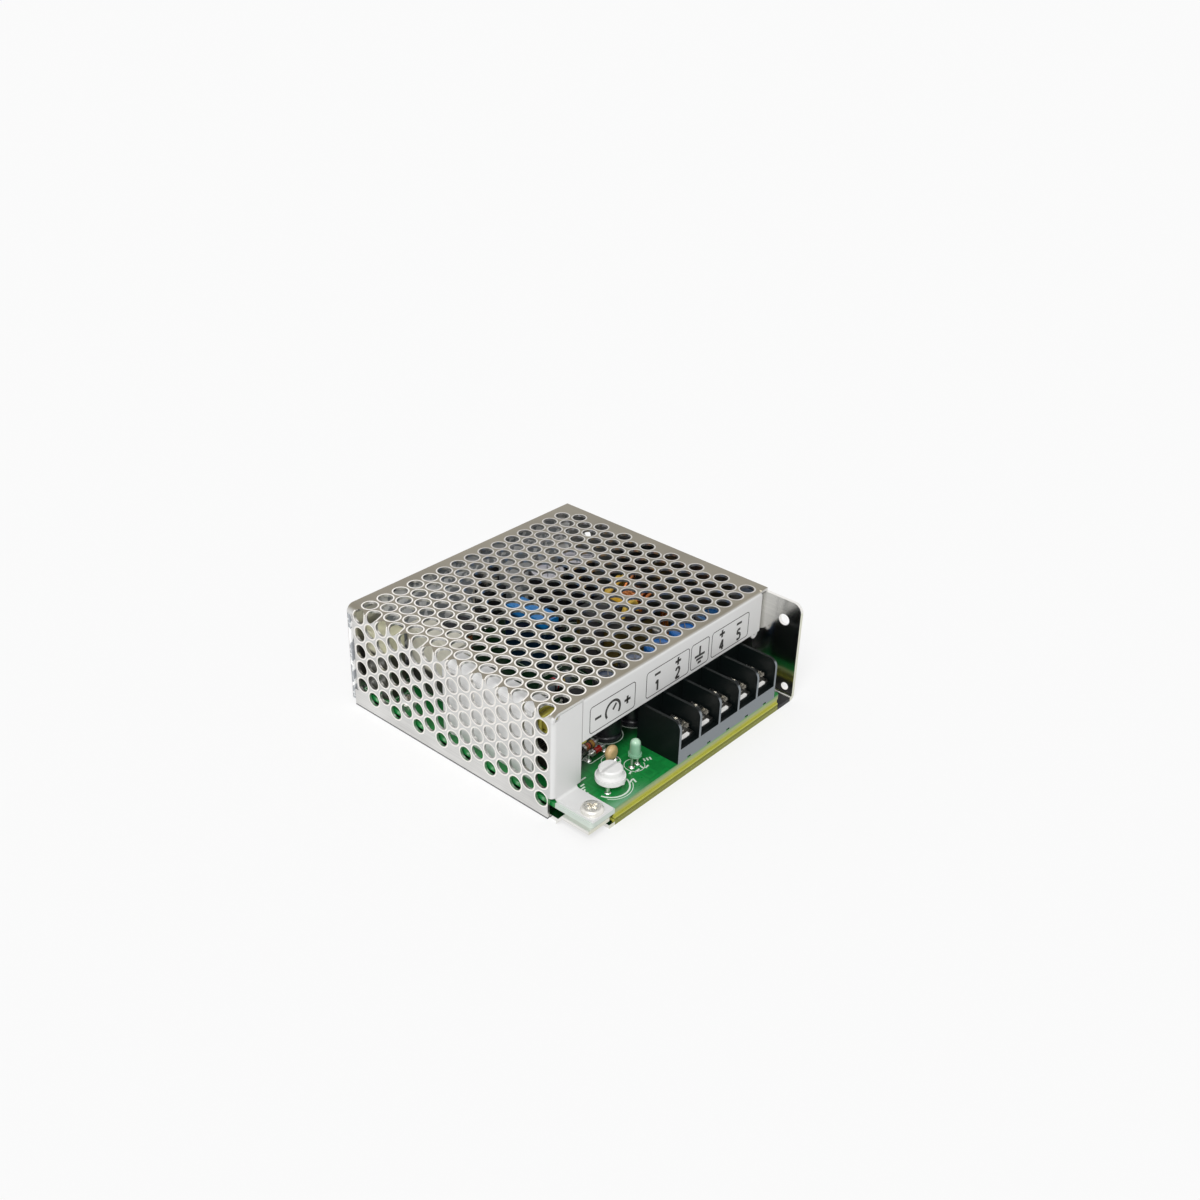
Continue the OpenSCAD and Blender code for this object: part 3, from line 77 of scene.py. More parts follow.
CASE = span("chassis")
COVER = span("cover")
BOARD = span("circuit_board")
FILM = span("insulating_film")
OUTPUT_CAPS = [f"output_capacitor_{i}" for i in range(1, 5)]
INPUT_CAPS = [f"input_capacitor_{i}" for i in range(1, 3)]
CLAMPS = [f"terminal_clamp_{i}" for i in range(1, 6)]
TERMINAL_SCREWS = [f"terminal_screw_{i}" for i in range(1, 6)]
POLES = [span(node).middle[0] for node in TERMINAL_SCREWS]

# Depth of the open shelf in front of the label strip, and the strip's front face
RECESS = 13.6 * MM
STRIP_Y = CASE.low[1] + RECESS

# Outer radius of the bend between the cover's top and left wall, and where its axis lies
BEND_R = 2.5 * MM
BEND_X = COVER.low[0] + BEND_R
BEND_Z = COVER.high[2] - BEND_R

# Depth of a mask that stops just past a face, and height of the tinned feet that parts stand on
HAIR = 0.02 * MM
FEET = 0.3 * MM

# Ink lies a little in the face that carries it and stands proud of it
INK_SINK = 0.005 * MM
INK_RISE = 0.03 * MM

# Colour of tinned leads
TIN = (0.74, 0.73, 0.70)


# Sizes and colours that a user may change

def colour(name, description, default):
    """A colour property in linear light."""
    return FloatVectorProperty(
        name=name, description=description, default=default, subtype="COLOR", size=3, min=0, max=1
    )


def length(name, description, millimetres):
    """A length property, given in millimetres and kept in metres."""
    return FloatProperty(
        name=name, description=description, default=millimetres * MM, unit="LENGTH", subtype="DISTANCE",
        min=0, precision=5,
    )


def share(name, description, default):
    """A property between 0 and 1."""
    return FloatProperty(name=name, description=description, default=default, subtype="FACTOR", min=0, max=1)


class SheetSettings(bpy.types.PropertyGroup):
    """Sheet metal of the case."""

    # Painted reflection: the top is the same sheet as the sides, painted darker as it looks when it mirrors a
    # dark ceiling.
    top: colour("Top", "Colour of the cover's top", (0.275, 0.250, 0.200))
    side: colour("Sides", "Colour of the cover's upright faces", (0.65, 0.645, 0.63))
    front: colour("Front", "Colour of the cover's satin front faces", (0.67, 0.67, 0.665))
    # Painted shade: a dark line along the cover's foot, where it meets the ground.
    foot: colour("Foot", "Colour of the line at the cover's foot", (0.10, 0.10, 0.105))
    wall: colour("Chassis", "Colour of the chassis", (0.80, 0.79, 0.76))
    # Painted light: the back wall's inside is painted near-white and matt, brighter than the chassis' own
    # metal, for the light that it shows.
    back: colour("Back wall", "Colour of the inside of the back wall", (0.97, 0.97, 0.96))
    spangle: colour("Spangle", "Colour of the grey grains on the back wall", (0.34, 0.36, 0.38))
    edge: colour("Edges", "Colour of the chassis' cut front edges", (0.60, 0.60, 0.50))
    # Painted shade: a near-black patch on the chassis floor beside the film, where the floor lies in shade.
    tape: colour("Tape", "Colour of the black tape beside the film", (0.008, 0.008, 0.009))
    # Painted highlight: the rims are the sheet's rolled hole edges, painted bright as they look where they
    # catch the light.
    rim: colour("Rims", "Colour of the bright hole rims", (0.93, 0.90, 0.855))
    cover_rough: share("Cover roughness", "Roughness of the cover", 0.34)
    chassis_rough: share("Chassis roughness", "Roughness of the chassis", 0.16)
    hole: length("Hole", "Diameter of a vent hole", 4.5)
    step: length("Hole step", "Distance between holes of one row", 6.0)
    row: length("Row step", "Distance between rows of holes", 5.0)
    first: length("First row", "Distance from the label strip to the first row", 4.1)
    left: length("First column", "Distance from the left face to the first hole of the top", 1.7)
    down: length("First wall row", "Distance from the top to the first hole of the left wall", 5.2)
    rim_width: length("Rim width", "Width of the bright rim of a hole", 0.45)
    ink: colour("Ink", "Colour of the label's ink", (0.025, 0.024, 0.022))
    line: length("Ink line", "Width of the label's frames", 0.25)
    bold: length("Bold line", "Width of the label's signs", 0.8)


class BoardSettings(bpy.types.PropertyGroup):
    """Circuit board and insulating film."""

    lacquer: colour("Lacquer", "Colour of the board's lacquer", (0.005, 0.17, 0.032))
    # Painted sheen: the lighter green near the front left corner.
    sheen: colour("Sheen", "Colour of the lacquer near the front left corner", (0.12, 0.31, 0.17))
    margin: colour("Edge", "Colour of the board's bare edge", (0.29, 0.33, 0.13))
    upper: colour("Upper edge", "Colour of the bare edge just under the lacquer", (0.13, 0.26, 0.11))
    pale: colour("Pale edge", "Colour of the board's edges at the screw tab", (0.50, 0.56, 0.51))
    film: colour("Film", "Colour of the insulating film", (0.41, 0.415, 0.065))
    hem: colour("Film hem", "Colour of the film's folded hem", (0.17, 0.18, 0.010))
    print: colour("Marks", "Colour of the board's printed marks", (0.62, 0.70, 0.62))
    line: length("Mark line", "Width of the board's printed lines", 0.22)
    bar: length("Mark bar", "Width of the board's printed bars", 0.5)
    solder: colour("Solder", "Colour of the solder", (0.74, 0.74, 0.72))
    pad: length("Pad", "Radius of a solder pad", 1.0)


class PartSettings(bpy.types.PropertyGroup):
    """Parts on the board and at the terminals."""

    block: colour("Block", "Colour of the terminal block", (0.003, 0.005, 0.005))
    # Painted light: the block's forward faces in front are painted grey.
    block_front: colour("Block front", "Colour of the block's worn front faces", (0.19, 0.21, 0.225))
    nickel: colour("Nickel", "Colour of plated parts", (0.84, 0.82, 0.77))
    # Painted highlight: the pale left parts of the contacts' front lips.
    lip_highlight: colour("Contact lips", "Colour of the contacts' front lips", (0.80, 0.80, 0.78))
    white: colour("White", "Colour of white plastic", (0.70, 0.70, 0.69))
    lamp: colour("Lamp", "Colour of the lamp's lens", (0.21, 0.41, 0.27))
    lamp_tip: colour("Lamp tip", "Colour of the lens near its tip", (0.42, 0.62, 0.46))
    ferrite: colour("Ferrite", "Colour of ferrite cores", (0.035, 0.034, 0.036))
    bobbin: colour("Bobbin", "Colour of the transformer's bobbin", (0.012, 0.012, 0.013))
    tape: colour("Tape", "Colour of the tape round the core", (0.752, 0.429, 0.021))
    wrap: colour("Wrap", "Colour of the wrap on the transformer's winding", (0.10, 0.07, 0.014))
    sleeve: colour("Lead sleeve", "Colour of the sleeves on the transformer's leads", (0.86, 0.57, 0.09))
    copper: colour("Copper", "Colour of lacquered wire", (0.578, 0.188, 0.045))
    ring: colour("Ring", "Colour of the painted ring core", (0.42, 0.36, 0.05))
    cord: colour("Choke wire", "Colour of the ring choke's insulated wire", (0.46, 0.42, 0.07))
    # Painted shade: the ring choke's lower half is painted near-black.
    lower_shade: colour("Dip", "Colour of the ring choke's dipped lower half", (0.014, 0.012, 0.008))
    blue: colour("Blue sleeve", "Colour of the output capacitors", (0.007, 0.156, 0.515))
    black: colour("Black sleeve", "Colour of the black capacitors", (0.010, 0.010, 0.014))
    score: colour("Scores", "Colour of the scores on the can tops", (0.30, 0.30, 0.31))
    sink: colour("Heat sink", "Colour of bare aluminium", (0.86, 0.86, 0.86))
    pad: colour("Pads", "Colour of the insulating pads", (0.60, 0.55, 0.47))
    chip: colour("Chips", "Colour of the moulded devices", (0.014, 0.014, 0.015))
    glass: colour("Fuse glass", "Colour of the fuse's tube", (0.86, 0.92, 0.90))


class StageSettings(bpy.types.PropertyGroup):
    """Light, floor and camera."""

    ambient: FloatProperty(name="Ambient", description="Strength of the room's light", default=0.6, min=0)
    sun: FloatProperty(name="Sun", description="Strength of the soft main light", default=2.2, min=0)
    floor: colour("Floor", "Colour of the floor", (0.85, 0.85, 0.85))
    white: share("White share", "Share of the floor that is plain white where it is seen directly", 0.6)
    lens: FloatProperty(name="Lens", description="Focal length", default=41.448, unit="CAMERA", min=1)
    distance: length("Distance", "Distance from the aim to the camera", 452.895)


# Shapes worked out as whole arrays

def unit(vectors):
    """Vectors brought to length one."""
    return vectors / np.linalg.norm(vectors, axis=-1, keepdims=True)


def signed_root(values):
    """Square roots of the sizes of values, with the values' signs."""
    return np.sign(values) * np.sqrt(np.abs(values))


def grid_faces(rows, cols, wrap_rows, wrap_cols):
    """Quads of a grid whose points are counted row by row; a wrapped side closes on itself."""
    row, col = np.meshgrid(
        np.arange(rows if wrap_rows else rows - 1), np.arange(cols if wrap_cols else cols - 1), indexing="ij"
    )
    next_row = (row + 1) % rows
    next_col = (col + 1) % cols
    corners = [row * cols + col, row * cols + next_col, next_row * cols + next_col, next_row * cols + col]
    return np.stack(corners, axis=-1).reshape(-1, 4)


def tube_faces(rows, cols, closed):
    """Quads of a tube of so many sections, and a cap at each end of an open one."""
    faces = [grid_faces(rows, cols, closed, True)]
    if not closed:
        start = np.arange(cols)[None]
        faces += [start, start + (rows - 1) * cols]
    return faces


def rings(centres, across, along, profile, sides=20):
    """Closed rings, one round each centre.

    The profile is a closed loop of (radius, rise). At angle a its points lie at the centre plus the radius
    times (cos a times across plus sin a times along) plus the rise along the normal of those two.
    """
    centres = np.atleast_2d(centres)
    profile = np.asarray(profile)
    turn = np.linspace(0, 2 * np.pi, sides, endpoint=False)[:, None]
    spoke = np.cos(turn) * across + np.sin(turn) * along
    ring = spoke[:, None] * profile[None, :, :1] + np.cross(across, along) * profile[None, :, 1:]
    points = centres[:, None, None] + ring
    faces = grid_faces(sides, len(profile), True, True)
    first = np.arange(len(centres))[:, None, None] * sides * len(profile)
    return points.reshape(-1, 3), [(faces + first).reshape(-1, 4)]


def sweep(path, lean, section):
    """A section carried along an open path and capped at its ends.

    Each point is the path's point plus u along the side plus v along the lift. The side is square to the path
    and to lean, and the lift is square to both.
    """
    path = np.asarray(path)
    section = np.asarray(section)
    run = np.gradient(path, axis=0)
    side = unit(np.cross(run, lean))
    lift = unit(np.cross(side, run))
    points = path[:, None] + side[:, None] * section[None, :, :1] + lift[:, None] * section[None, :, 1:]
    return points.reshape(-1, 3), tube_faces(len(path), len(section), False)


def hoop(path, axis, section):
    """A section of (out, along the axis) carried round a closed path that lies square to the axis."""
    section = np.asarray(section)
    run = np.roll(path, -1, 0) - np.roll(path, 1, 0)
    out = unit(np.cross(run, axis))
    points = path[:, None] + out[:, None] * section[None, :, :1] + axis * section[None, :, 1:]
    return points.reshape(-1, 3), tube_faces(len(path), len(section), True)


def ribbon(path, normal, width, rise, closed=False):
    """A flat band along a path, mitred at its corners, raised along the normal of the face that it lies on.

    At each point the side is the sum of the two segments' sides over one plus their dot product.
    """
    path = np.asarray(path, float)
    leg = unit(np.cross(normal, np.roll(path, -1, 0) - path))
    back = np.roll(leg, 1, 0)
    if not closed:
        leg[-1] = back[-1]
        back[0] = leg[0]
    side = (leg + back) / (1 + np.sum(leg * back, axis=1, keepdims=True)) * width / 2
    edges = [path - side, path + side, path + side + normal * rise, path - side + normal * rise]
    return np.stack(edges, axis=1).reshape(-1, 3), tube_faces(len(path), len(edges), closed)


def curve(spots, steps=12):
    """A smooth path through points.

    Between two points it is the cubic that has their places and slopes. The slope at a point is half the
    chord between its neighbours.
    """
    spots = np.asarray(spots, float)
    slopes = np.gradient(spots, axis=0)
    t = np.linspace(0, 1, steps, endpoint=False)[:, None]
    reach = 3 * t ** 2 - 2 * t ** 3
    leave = t ** 3 - 2 * t ** 2 + t
    arrive = t ** 3 - t ** 2
    legs = [
        (1 - reach) * spots[i] + reach * spots[i + 1] + leave * slopes[i] + arrive * slopes[i + 1]
        for i in range(len(spots) - 1)
    ]
    return np.concatenate([*legs, spots[-1:]])


def circle(sides, radius):
    """A closed section of a round wire."""
    turn = np.linspace(0, 2 * np.pi, sides, endpoint=False)
    return np.stack([np.cos(turn), np.sin(turn)], axis=-1) * radius


def arc_path(centre, across, along, radius, start, end, steps=24):
    """Points of an arc in the plane of across and along, with its angles in degrees."""
    turn = np.radians(np.linspace(start, end, steps))[:, None]
    return centre + radius * (np.cos(turn) * across + np.sin(turn) * along)


def round_box_path(low, high, across, along, corner, steps=6):
    """A closed rectangle with rounded corners, from its two opposite corner points."""
    wide = (high - low) @ across
    tall = (high - low) @ along
    right = wide - corner
    upper = tall - corner
    spots = [(right, upper), (corner, upper), (corner, corner), (right, corner)]
    arcs = [
        arc_path(low + u * across + v * along, across, along, corner, 90 * i, 90 * i + 90, steps)
        for i, (u, v) in enumerate(spots)
    ]
    return np.concatenate(arcs)


def join(shapes):
    """Several shapes as one."""
    points = []
    faces = []
    count = 0
    for spots, sets in shapes:
        points.append(spots)
        faces += [part + count for part in sets]
        count += len(spots)
    return np.concatenate(points), faces


def piece(name, shape, finish, smooth=True, replaces=()):
    """Make a closed shape a piece of the object that rides on its root body."""
    points, sets = shape
    mesh = bpy.data.meshes.new(name)
    mesh.from_pydata(points.tolist(), [], [face for part in sets for face in part.tolist()])
    work = bmesh.new()
    work.from_mesh(mesh)
    bmesh.ops.recalc_face_normals(work, faces=work.faces)
    work.to_mesh(mesh)
    work.free()
    if smooth:
        mesh.shade_smooth()
    mesh.materials.append(finish.made())
    made = bpy.data.objects.new(name, mesh)
    bpy.context.scene.collection.objects.link(made)
    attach(made, ROOT)
    if replaces:
        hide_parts(*replaces)


# Points read from the CAD meshes

def node_points(node):
    """All points of a CAD node's mesh."""
    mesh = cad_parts[node].data
    points = np.empty(len(mesh.vertices) * 3)
    mesh.vertices.foreach_get("co", points)
    return points.reshape(-1, 3)


def passes_board(node):
    """True for a part whose leads pass through the board: it reaches from well below it to above it."""
    box = span(node)
    deepest = BOARD.low[2] - 2 * MM
    least = BOARD.low[2] - 0.5 * MM
    on_leads = node not in ("chassis", "cover", "insulating_film", "circuit_board", "board_screws")
    return on_leads and deepest < box.low[2] < least and box.high[2] > BOARD.high[2]


def lead_spots(node):
    """Middles of a part's leads: its lowest points, gathered wherever they lie within a lead's width."""
    lead_width = 0.75 * MM
    points = node_points(node)
    points = points[points[:, 2] < points[:, 2].min() + HAIR]
    found = []
    while len(points):
        near = np.linalg.norm(points[:, :2] - points[0, :2], axis=1) < lead_width
        found.append((points[near].min(0) + points[near].max(0)) / 2)
        points = points[~near]
    return np.array(found)


def can_top(node):
    """Height of a can's sunk top: that of the highest points inside its rolled edge."""
    rolled_edge = 0.7 * MM
    box = span(node)
    points = node_points(node)
    near = np.linalg.norm(points[:, :2] - box.middle[:2], axis=1) < box.half[0] - rolled_edge
    return points[near, 2].max()


# Finishes worked out from object coordinates

def feed(tree, socket, value):
    """Link a socket into an input, or set the input's own value."""
    if isinstance(value, bpy.types.NodeSocket):
        tree.links.new(value, socket)
    elif socket.type == "RGBA":
        socket.default_value = (*value[:3], 1)
    elif socket.type == "VALUE":
        socket.default_value = float(value)
    else:
        socket.default_value = value


def shader_node(tree, kind, inputs, **settings):
    """A node of that kind with its settings made and its inputs fed by number or name."""
    made = tree.nodes.new("ShaderNode" + kind)
    for key, value in settings.items():
        setattr(made, key, value)
    for index, value in inputs.items():
        feed(tree, made.inputs[index], value)
    return made


def shade(base, factor):
    """A colour times a factor."""
    return tuple(factor * value for value in base)


def faded(base):
    """A colour printed pale on itself."""
    return tuple(0.45 + 0.4 * value for value in base)


class Finish:
    """A Principled material and the node helpers that its pattern is built with."""

    ROUGH_SPREAD = 0.15

    def __init__(self, name, base, rough, metal=0.0, *, spread, grain, stretch=(1, 1, 1), bump=0.0):
        """A colour varied by grain: spread is the share that it varies by, bump the height of its relief."""
        self.material = bpy.data.materials.new(name)
        self.material.use_nodes = True
        self.tree = self.material.node_tree
        self.shader = self.tree.nodes["Principled BSDF"]
        self.place = self.tree.nodes.new("ShaderNodeTexCoord")
        self.grain = self.noise(grain, stretch)
        self.base = tuple(base)
        self.metal = metal
        self.vary(self.grain, spread)
        self.rough = self.scale(self.grain, rough * (1 - self.ROUGH_SPREAD), rough * (1 + self.ROUGH_SPREAD))
        if bump:
            self.relief(self.grain, bump)

    def node(self, kind, output, inputs, **settings):
        """One output of a new node."""
        return shader_node(self.tree, kind, inputs, **settings).outputs[output]

    def math(self, operation, a, b=0.0, c=0.0):
        """One operation on up to three numbers."""
        return self.node("Math", 0, {0: a, 1: b, 2: c}, operation=operation)

    def along(self, axis):
        """Object coordinate along an axis, in metres."""
        return self.node("SeparateXYZ", axis, {0: self.place.outputs["Object"]})

    def facing(self, axis):
        """Share of the surface's own normal along an axis."""
        return self.node("SeparateXYZ", axis, {0: self.place.outputs["Normal"]})

    def stretched(self, factors):
        """Object coordinates times a factor for each axis."""
        return self.node("VectorMath", 0, {0: self.place.outputs["Object"], 1: factors}, operation="MULTIPLY")

    def noise(self, scale, stretch=(1, 1, 1), detail=3.0):
        """Noise between 0 and 1, so many grains to a metre, stretched by axis."""
        return self.node("TexNoise", 0, {"Vector": self.stretched(stretch), "Scale": scale, "Detail": detail})

    def scale(self, value, low, high, start=0.25, end=0.75):
        """A value between start and end spread over low to high."""
        return self.node("MapRange", 0, {0: value, 1: start, 2: end, 3: low, 4: high})

    def rising(self, value, start, end):
        """0 before start, 1 after end, smooth between."""
        return self.node("MapRange", 0, {0: value, 1: start, 2: end}, interpolation_type="SMOOTHSTEP")

    def growing(self, axis, origin, ends):
        """0 to 1 between two distances from an origin along an axis."""
        return self.rising(self.along(axis), origin + ends[0], origin + ends[1])

    def steps(self, value, start, step):
        """How many steps a value lies beyond a start."""
        return self.math("DIVIDE", self.math("SUBTRACT", value, start), step)

    def within(self, value, middle, half):
        """1 where a value is within half of the middle."""
        return self.math("COMPARE", value, middle, half)

    def below(self, axis, place):
        """1 where the coordinate along an axis is less than a place."""
        return self.math("LESS_THAN", self.along(axis), place)

    def above(self, axis, place):
        """1 where the coordinate along an axis is more than a place."""
        return self.math("GREATER_THAN", self.along(axis), place)

    def beyond(self, axis, middle, reach):
        """1 where the coordinate along an axis is further than the reach from the middle."""
        offset = self.math("ABSOLUTE", self.math("SUBTRACT", self.along(axis), middle))
        return self.math("GREATER_THAN", offset, reach)

    def both(self, *masks):
        """The product of masks."""
        product = masks[0]
        for mask in masks[1:]:
            product = self.math("MULTIPLY", product, mask)
        return product

    def either(self, one, other):
        """The greater of two masks."""
        return self.math("MAXIMUM", one, other)

    def radius(self, centre):
        """Distance from an upright axis, in metres."""
        return self.node("VectorMath", 1, {0: self.stretched(FLAT), 1: centre * FLAT}, operation="DISTANCE")

    def lines(self, value, step, filled, softness=0.15):
        """1 on stripes that repeat each step and fill that share of it."""
        phase = self.math("FRACT", self.math("DIVIDE", value, step))
        offset = self.math("ABSOLUTE", self.math("SUBTRACT", phase, 0.5))
        return self.rising(offset, 0.5 - filled / 2 - softness / 2, 0.5 - filled / 2 + softness / 2)

    def vary(self, noise, amount):
        """The colour made lighter and darker by noise."""
        factor = self.scale(noise, 1 - amount, 1 + amount)
        self.base = self.node("VectorMath", 0, {0: self.base, 3: factor}, operation="SCALE")

    def cover(self, mask, base, rough=None, metal=None):
        """Another finish where the mask is 1."""
        self.base = self.node("Mix", 2, {0: mask, 6: self.base, 7: tuple(base)}, data_type="RGBA")
        if rough is not None:
            self.rough = self.node("Mix", 0, {0: mask, 2: self.rough, 3: rough})
        if metal is not None:
            self.metal = self.node("Mix", 0, {0: mask, 2: self.metal, 3: metal})

    def leads(self, mask):
        """Tinned leads where the mask is 1."""
        self.cover(mask, TIN, 0.28, 1.0)

    def leads_to(self, height):
        """Tinned leads up to a height above the board."""
        self.leads(self.below(2, BOARD.high[2] + height))

    def relief(self, height, distance, strength=0.6):
        """Fine relief from a height of 0 to 1."""
        bump = self.node("Bump", 0, {"Strength": strength, "Distance": distance, "Height": height})
        self.set(Normal=bump)

    def set(self, **values):
        """Feed the shader's own sockets by name, with underscores for spaces."""
        for name, value in values.items():
            feed(self.tree, self.shader.inputs[name.replace("_", " ")], value)

    def made(self):
        """The material with its colour, roughness and metal linked."""
        self.set(Base_Color=self.base, Roughness=self.rough, Metallic=self.metal)
        return self.material

    def on(self, *nodes):
        """Give the finish to CAD nodes."""
        material = self.made()
        for node in nodes:
            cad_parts[node].material_slots[0].material = material


def sheet_finish(name, base, rough):
    """Bare rolled sheet: fine streaks along Y and soft clouds."""
    finish = Finish(name, base, rough, 1.0, spread=0.1, grain=1.0, stretch=(2600, 60, 2600))
    finish.vary(finish.noise(70), 0.06)
    finish.relief(finish.grain, 0.01 * MM, 0.25)
    return finish


def nickel_finish(name, base, rough):
    """Plated metal with fine scratches and faint clouds."""
    finish = Finish(name, base, rough, 1.0, spread=0.05, grain=1.0, stretch=(500, 3000, 900))
    finish.vary(finish.noise(220), 0.06)
    finish.relief(finish.grain, 0.008 * MM, 0.3)
    return finish


def wire_finish(name, copper):
    """Lacquered copper wire."""
    finish = Finish(name, copper, 0.28, 0.85, spread=0.12, grain=600)
    finish.set(Coat_Weight=0.5, Coat_Roughness=0.15)
    return finish


# Operators, one for each group of pieces

class SheetMetal(bpy.types.Operator):
    """Finish the chassis and the cover, with painted highlights on the rims round the vent holes"""

    bl_idname = "converter.sheet_metal"
    bl_label = "Sheet metal"

    # Thickness of the chassis' sheet, half depth of the back wall's mask, and how far a mask stays off the
    # outer faces
    CHASSIS_T = 1.2 * MM
    BACK_HALF = 1.0 * MM
    SKIN = 0.1 * MM
    # Distance from the label strip to where the painted shade inside the chassis begins
    SHADE_FROM = 3 * MM
    # Distance from the near-black patch of painted shade on the floor to the right face
    SHADE_PATCH_SIDE = 2.1 * MM
    # Depth of the cover's satin front, and height of the line of painted shade at its foot
    FRONT_DEPTH = 0.9 * MM
    FOOT_SHADE = 0.45 * MM
    # Distance from the left face to where the rims' painted highlight starts to fade
    RIM_HIGHLIGHT_FADE = 15 * MM
    # Least distance of the holes' middles from the back face, the right face and the ground
    BACK_MARGIN = 4.5 * MM
    RIGHT_MARGIN = 3.4 * MM
    FOOT_MARGIN = 5.5 * MM

    def execute(self, context):
        self.chassis(context.scene.converter_sheet, context.scene.converter_board)
        self.cover(context.scene.converter_sheet)
        return {"FINISHED"}

    def chassis(self, sheet, board):
        """Bright metal: painted shade under the cover, painted light with grey grains inside the back wall,
        hemmed in front, with a near-black patch of painted shade on the floor beside the film.
        """
        finish = sheet_finish("chassis_sheet", sheet.wall, sheet.chassis_rough)
        # Painted shade: the inside under the cover is painted darker.
        shaded_inside = finish.both(
            finish.above(1, STRIP_Y + self.SHADE_FROM),
            finish.below(1, CASE.high[1] - self.SKIN),
            finish.below(0, CASE.high[0] - self.SKIN),
            finish.above(2, self.SKIN),
        )
        finish.cover(shaded_inside, shade(sheet.wall, 0.4), 0.3)
        # Painted light: the back wall's inside is painted near-white and matt.
        back = finish.within(finish.along(1), CASE.high[1] - self.CHASSIS_T, self.BACK_HALF)
        finish.cover(back, sheet.back, 0.6, 0.0)
        grains = finish.rising(finish.noise(300), 0.47, 0.56)
        finish.cover(finish.both(back, grains), sheet.spangle)
        front = finish.below(1, CASE.low[1] + HAIR)
        finish.cover(front, sheet.edge, 0.5, 0.0)
        hem = finish.both(
            front,
            finish.within(finish.along(0), FILM.middle[0], FILM.half[0]),
            finish.below(2, FILM.low[2]),
        )
        finish.cover(hem, board.hem, 0.45)
        # Painted shade: a near-black patch on the floor beside the film.
        tape = finish.both(
            finish.above(0, FILM.high[0]),
            finish.below(0, CASE.high[0] - self.SHADE_PATCH_SIDE),
            finish.below(1, STRIP_Y),
            finish.below(2, FILM.low[2] + self.SKIN),
        )
        finish.cover(tape, sheet.tape, 0.6, 0.0)
        finish.on("chassis")

    def cover(self, sheet):
        """Pale sheet with a painted reflection that makes the top darker, satin on the faces that look
        forward, with painted highlights on its holes' rims and a line of painted shade at its foot.
        """
        finish = sheet_finish("cover_sheet", sheet.side, sheet.cover_rough)
        # Painted reflection: the top is painted darker than the sides.
        top = finish.both(finish.above(2, BEND_Z), finish.rising(finish.facing(2), 0.3, 0.85))
        finish.cover(top, sheet.top)
        finish.vary(finish.noise(45), 0.12)
        forward = finish.both(
            finish.below(1, STRIP_Y + self.FRONT_DEPTH),
            finish.below(2, COVER.high[2] - self.FRONT_DEPTH),
        )
        finish.cover(forward, sheet.front, 0.5, 0.2)
        # Painted highlight: bright rims round the holes, dimmer towards the right.
        rims = self.rims(finish, sheet)
        finish.cover(rims, sheet.rim, 0.3, 1.0)
        highlight_fade = finish.rising(finish.along(0), COVER.low[0] + self.RIM_HIGHLIGHT_FADE, 0.0)
        finish.cover(finish.both(rims, highlight_fade), shade(sheet.rim, 0.66))
        # Painted shade: a dark line along the foot.
        finish.cover(finish.below(2, COVER.low[2] + self.FOOT_SHADE), sheet.foot, 0.5, 0.5)
        finish.on("cover")

    def rims(self, finish, sheet):
        """1 on the rims of the vent holes: where the nearest middle of a hole lies just beyond its radius.

        Rows step along Y, and the holes of every second row are moved by half a hole step. The holes of a row
        step along X on the top and along Z on the wall. The two rows on either side of a point are tried.
        """
        last = np.floor((CASE.high[1] - self.BACK_MARGIN - STRIP_Y - sheet.first) / sheet.row)
        level = finish.steps(finish.along(1), STRIP_Y + sheet.first, sheet.row)
        upward = finish.math("GREATER_THAN", finish.facing(2), 0.7)
        on_wall = finish.both(finish.math("SUBTRACT", 1.0, upward), finish.below(0, BEND_X))
        from_left = finish.math("SUBTRACT", finish.along(0), COVER.low[0] + sheet.left)
        from_top = finish.math("SUBTRACT", COVER.high[2] - sheet.down, finish.along(2))
        room = CASE.high[0] - COVER.low[0] - sheet.left - self.RIGHT_MARGIN
        drop = COVER.high[2] - sheet.down - self.FOOT_MARGIN
        found = 0.0
        for step in (0.0, 1.0):
            row = finish.math("ADD", finish.math("FLOOR", level), step)
            exists = finish.within(row, last / 2, last / 2 + 0.1)
            aside = finish.math("MULTIPLY", finish.math("SUBTRACT", level, row), sheet.row)
            moved = finish.math("MULTIPLY", finish.math("FLOORED_MODULO", row, 2.0), sheet.step / 2)
            for face, distance, reach in [(upward, from_left, room), (on_wall, from_top, drop)]:
                turn = finish.steps(distance, moved, sheet.step)
                nearest = finish.math("ROUND", turn)
                middle = finish.math("MULTIPLY_ADD", nearest, sheet.step, moved)
                inside = finish.math("LESS_THAN", middle, reach)
                offset = finish.math("MULTIPLY", finish.math("SUBTRACT", turn, nearest), sheet.step)
                ring = self.ring(finish, sheet, offset, aside)
                found = finish.either(found, finish.both(face, exists, inside, ring))
        return found

    def ring(self, finish, sheet, offset, aside):
        """1 where the distance to a hole's middle, from its two parts, is that of a rim."""
        square = finish.math("MULTIPLY_ADD", offset, offset, finish.math("MULTIPLY", aside, aside))
        middle = (sheet.hole + sheet.rim_width) / 2
        return finish.within(finish.math("SQRT", square), middle, sheet.rim_width / 2)


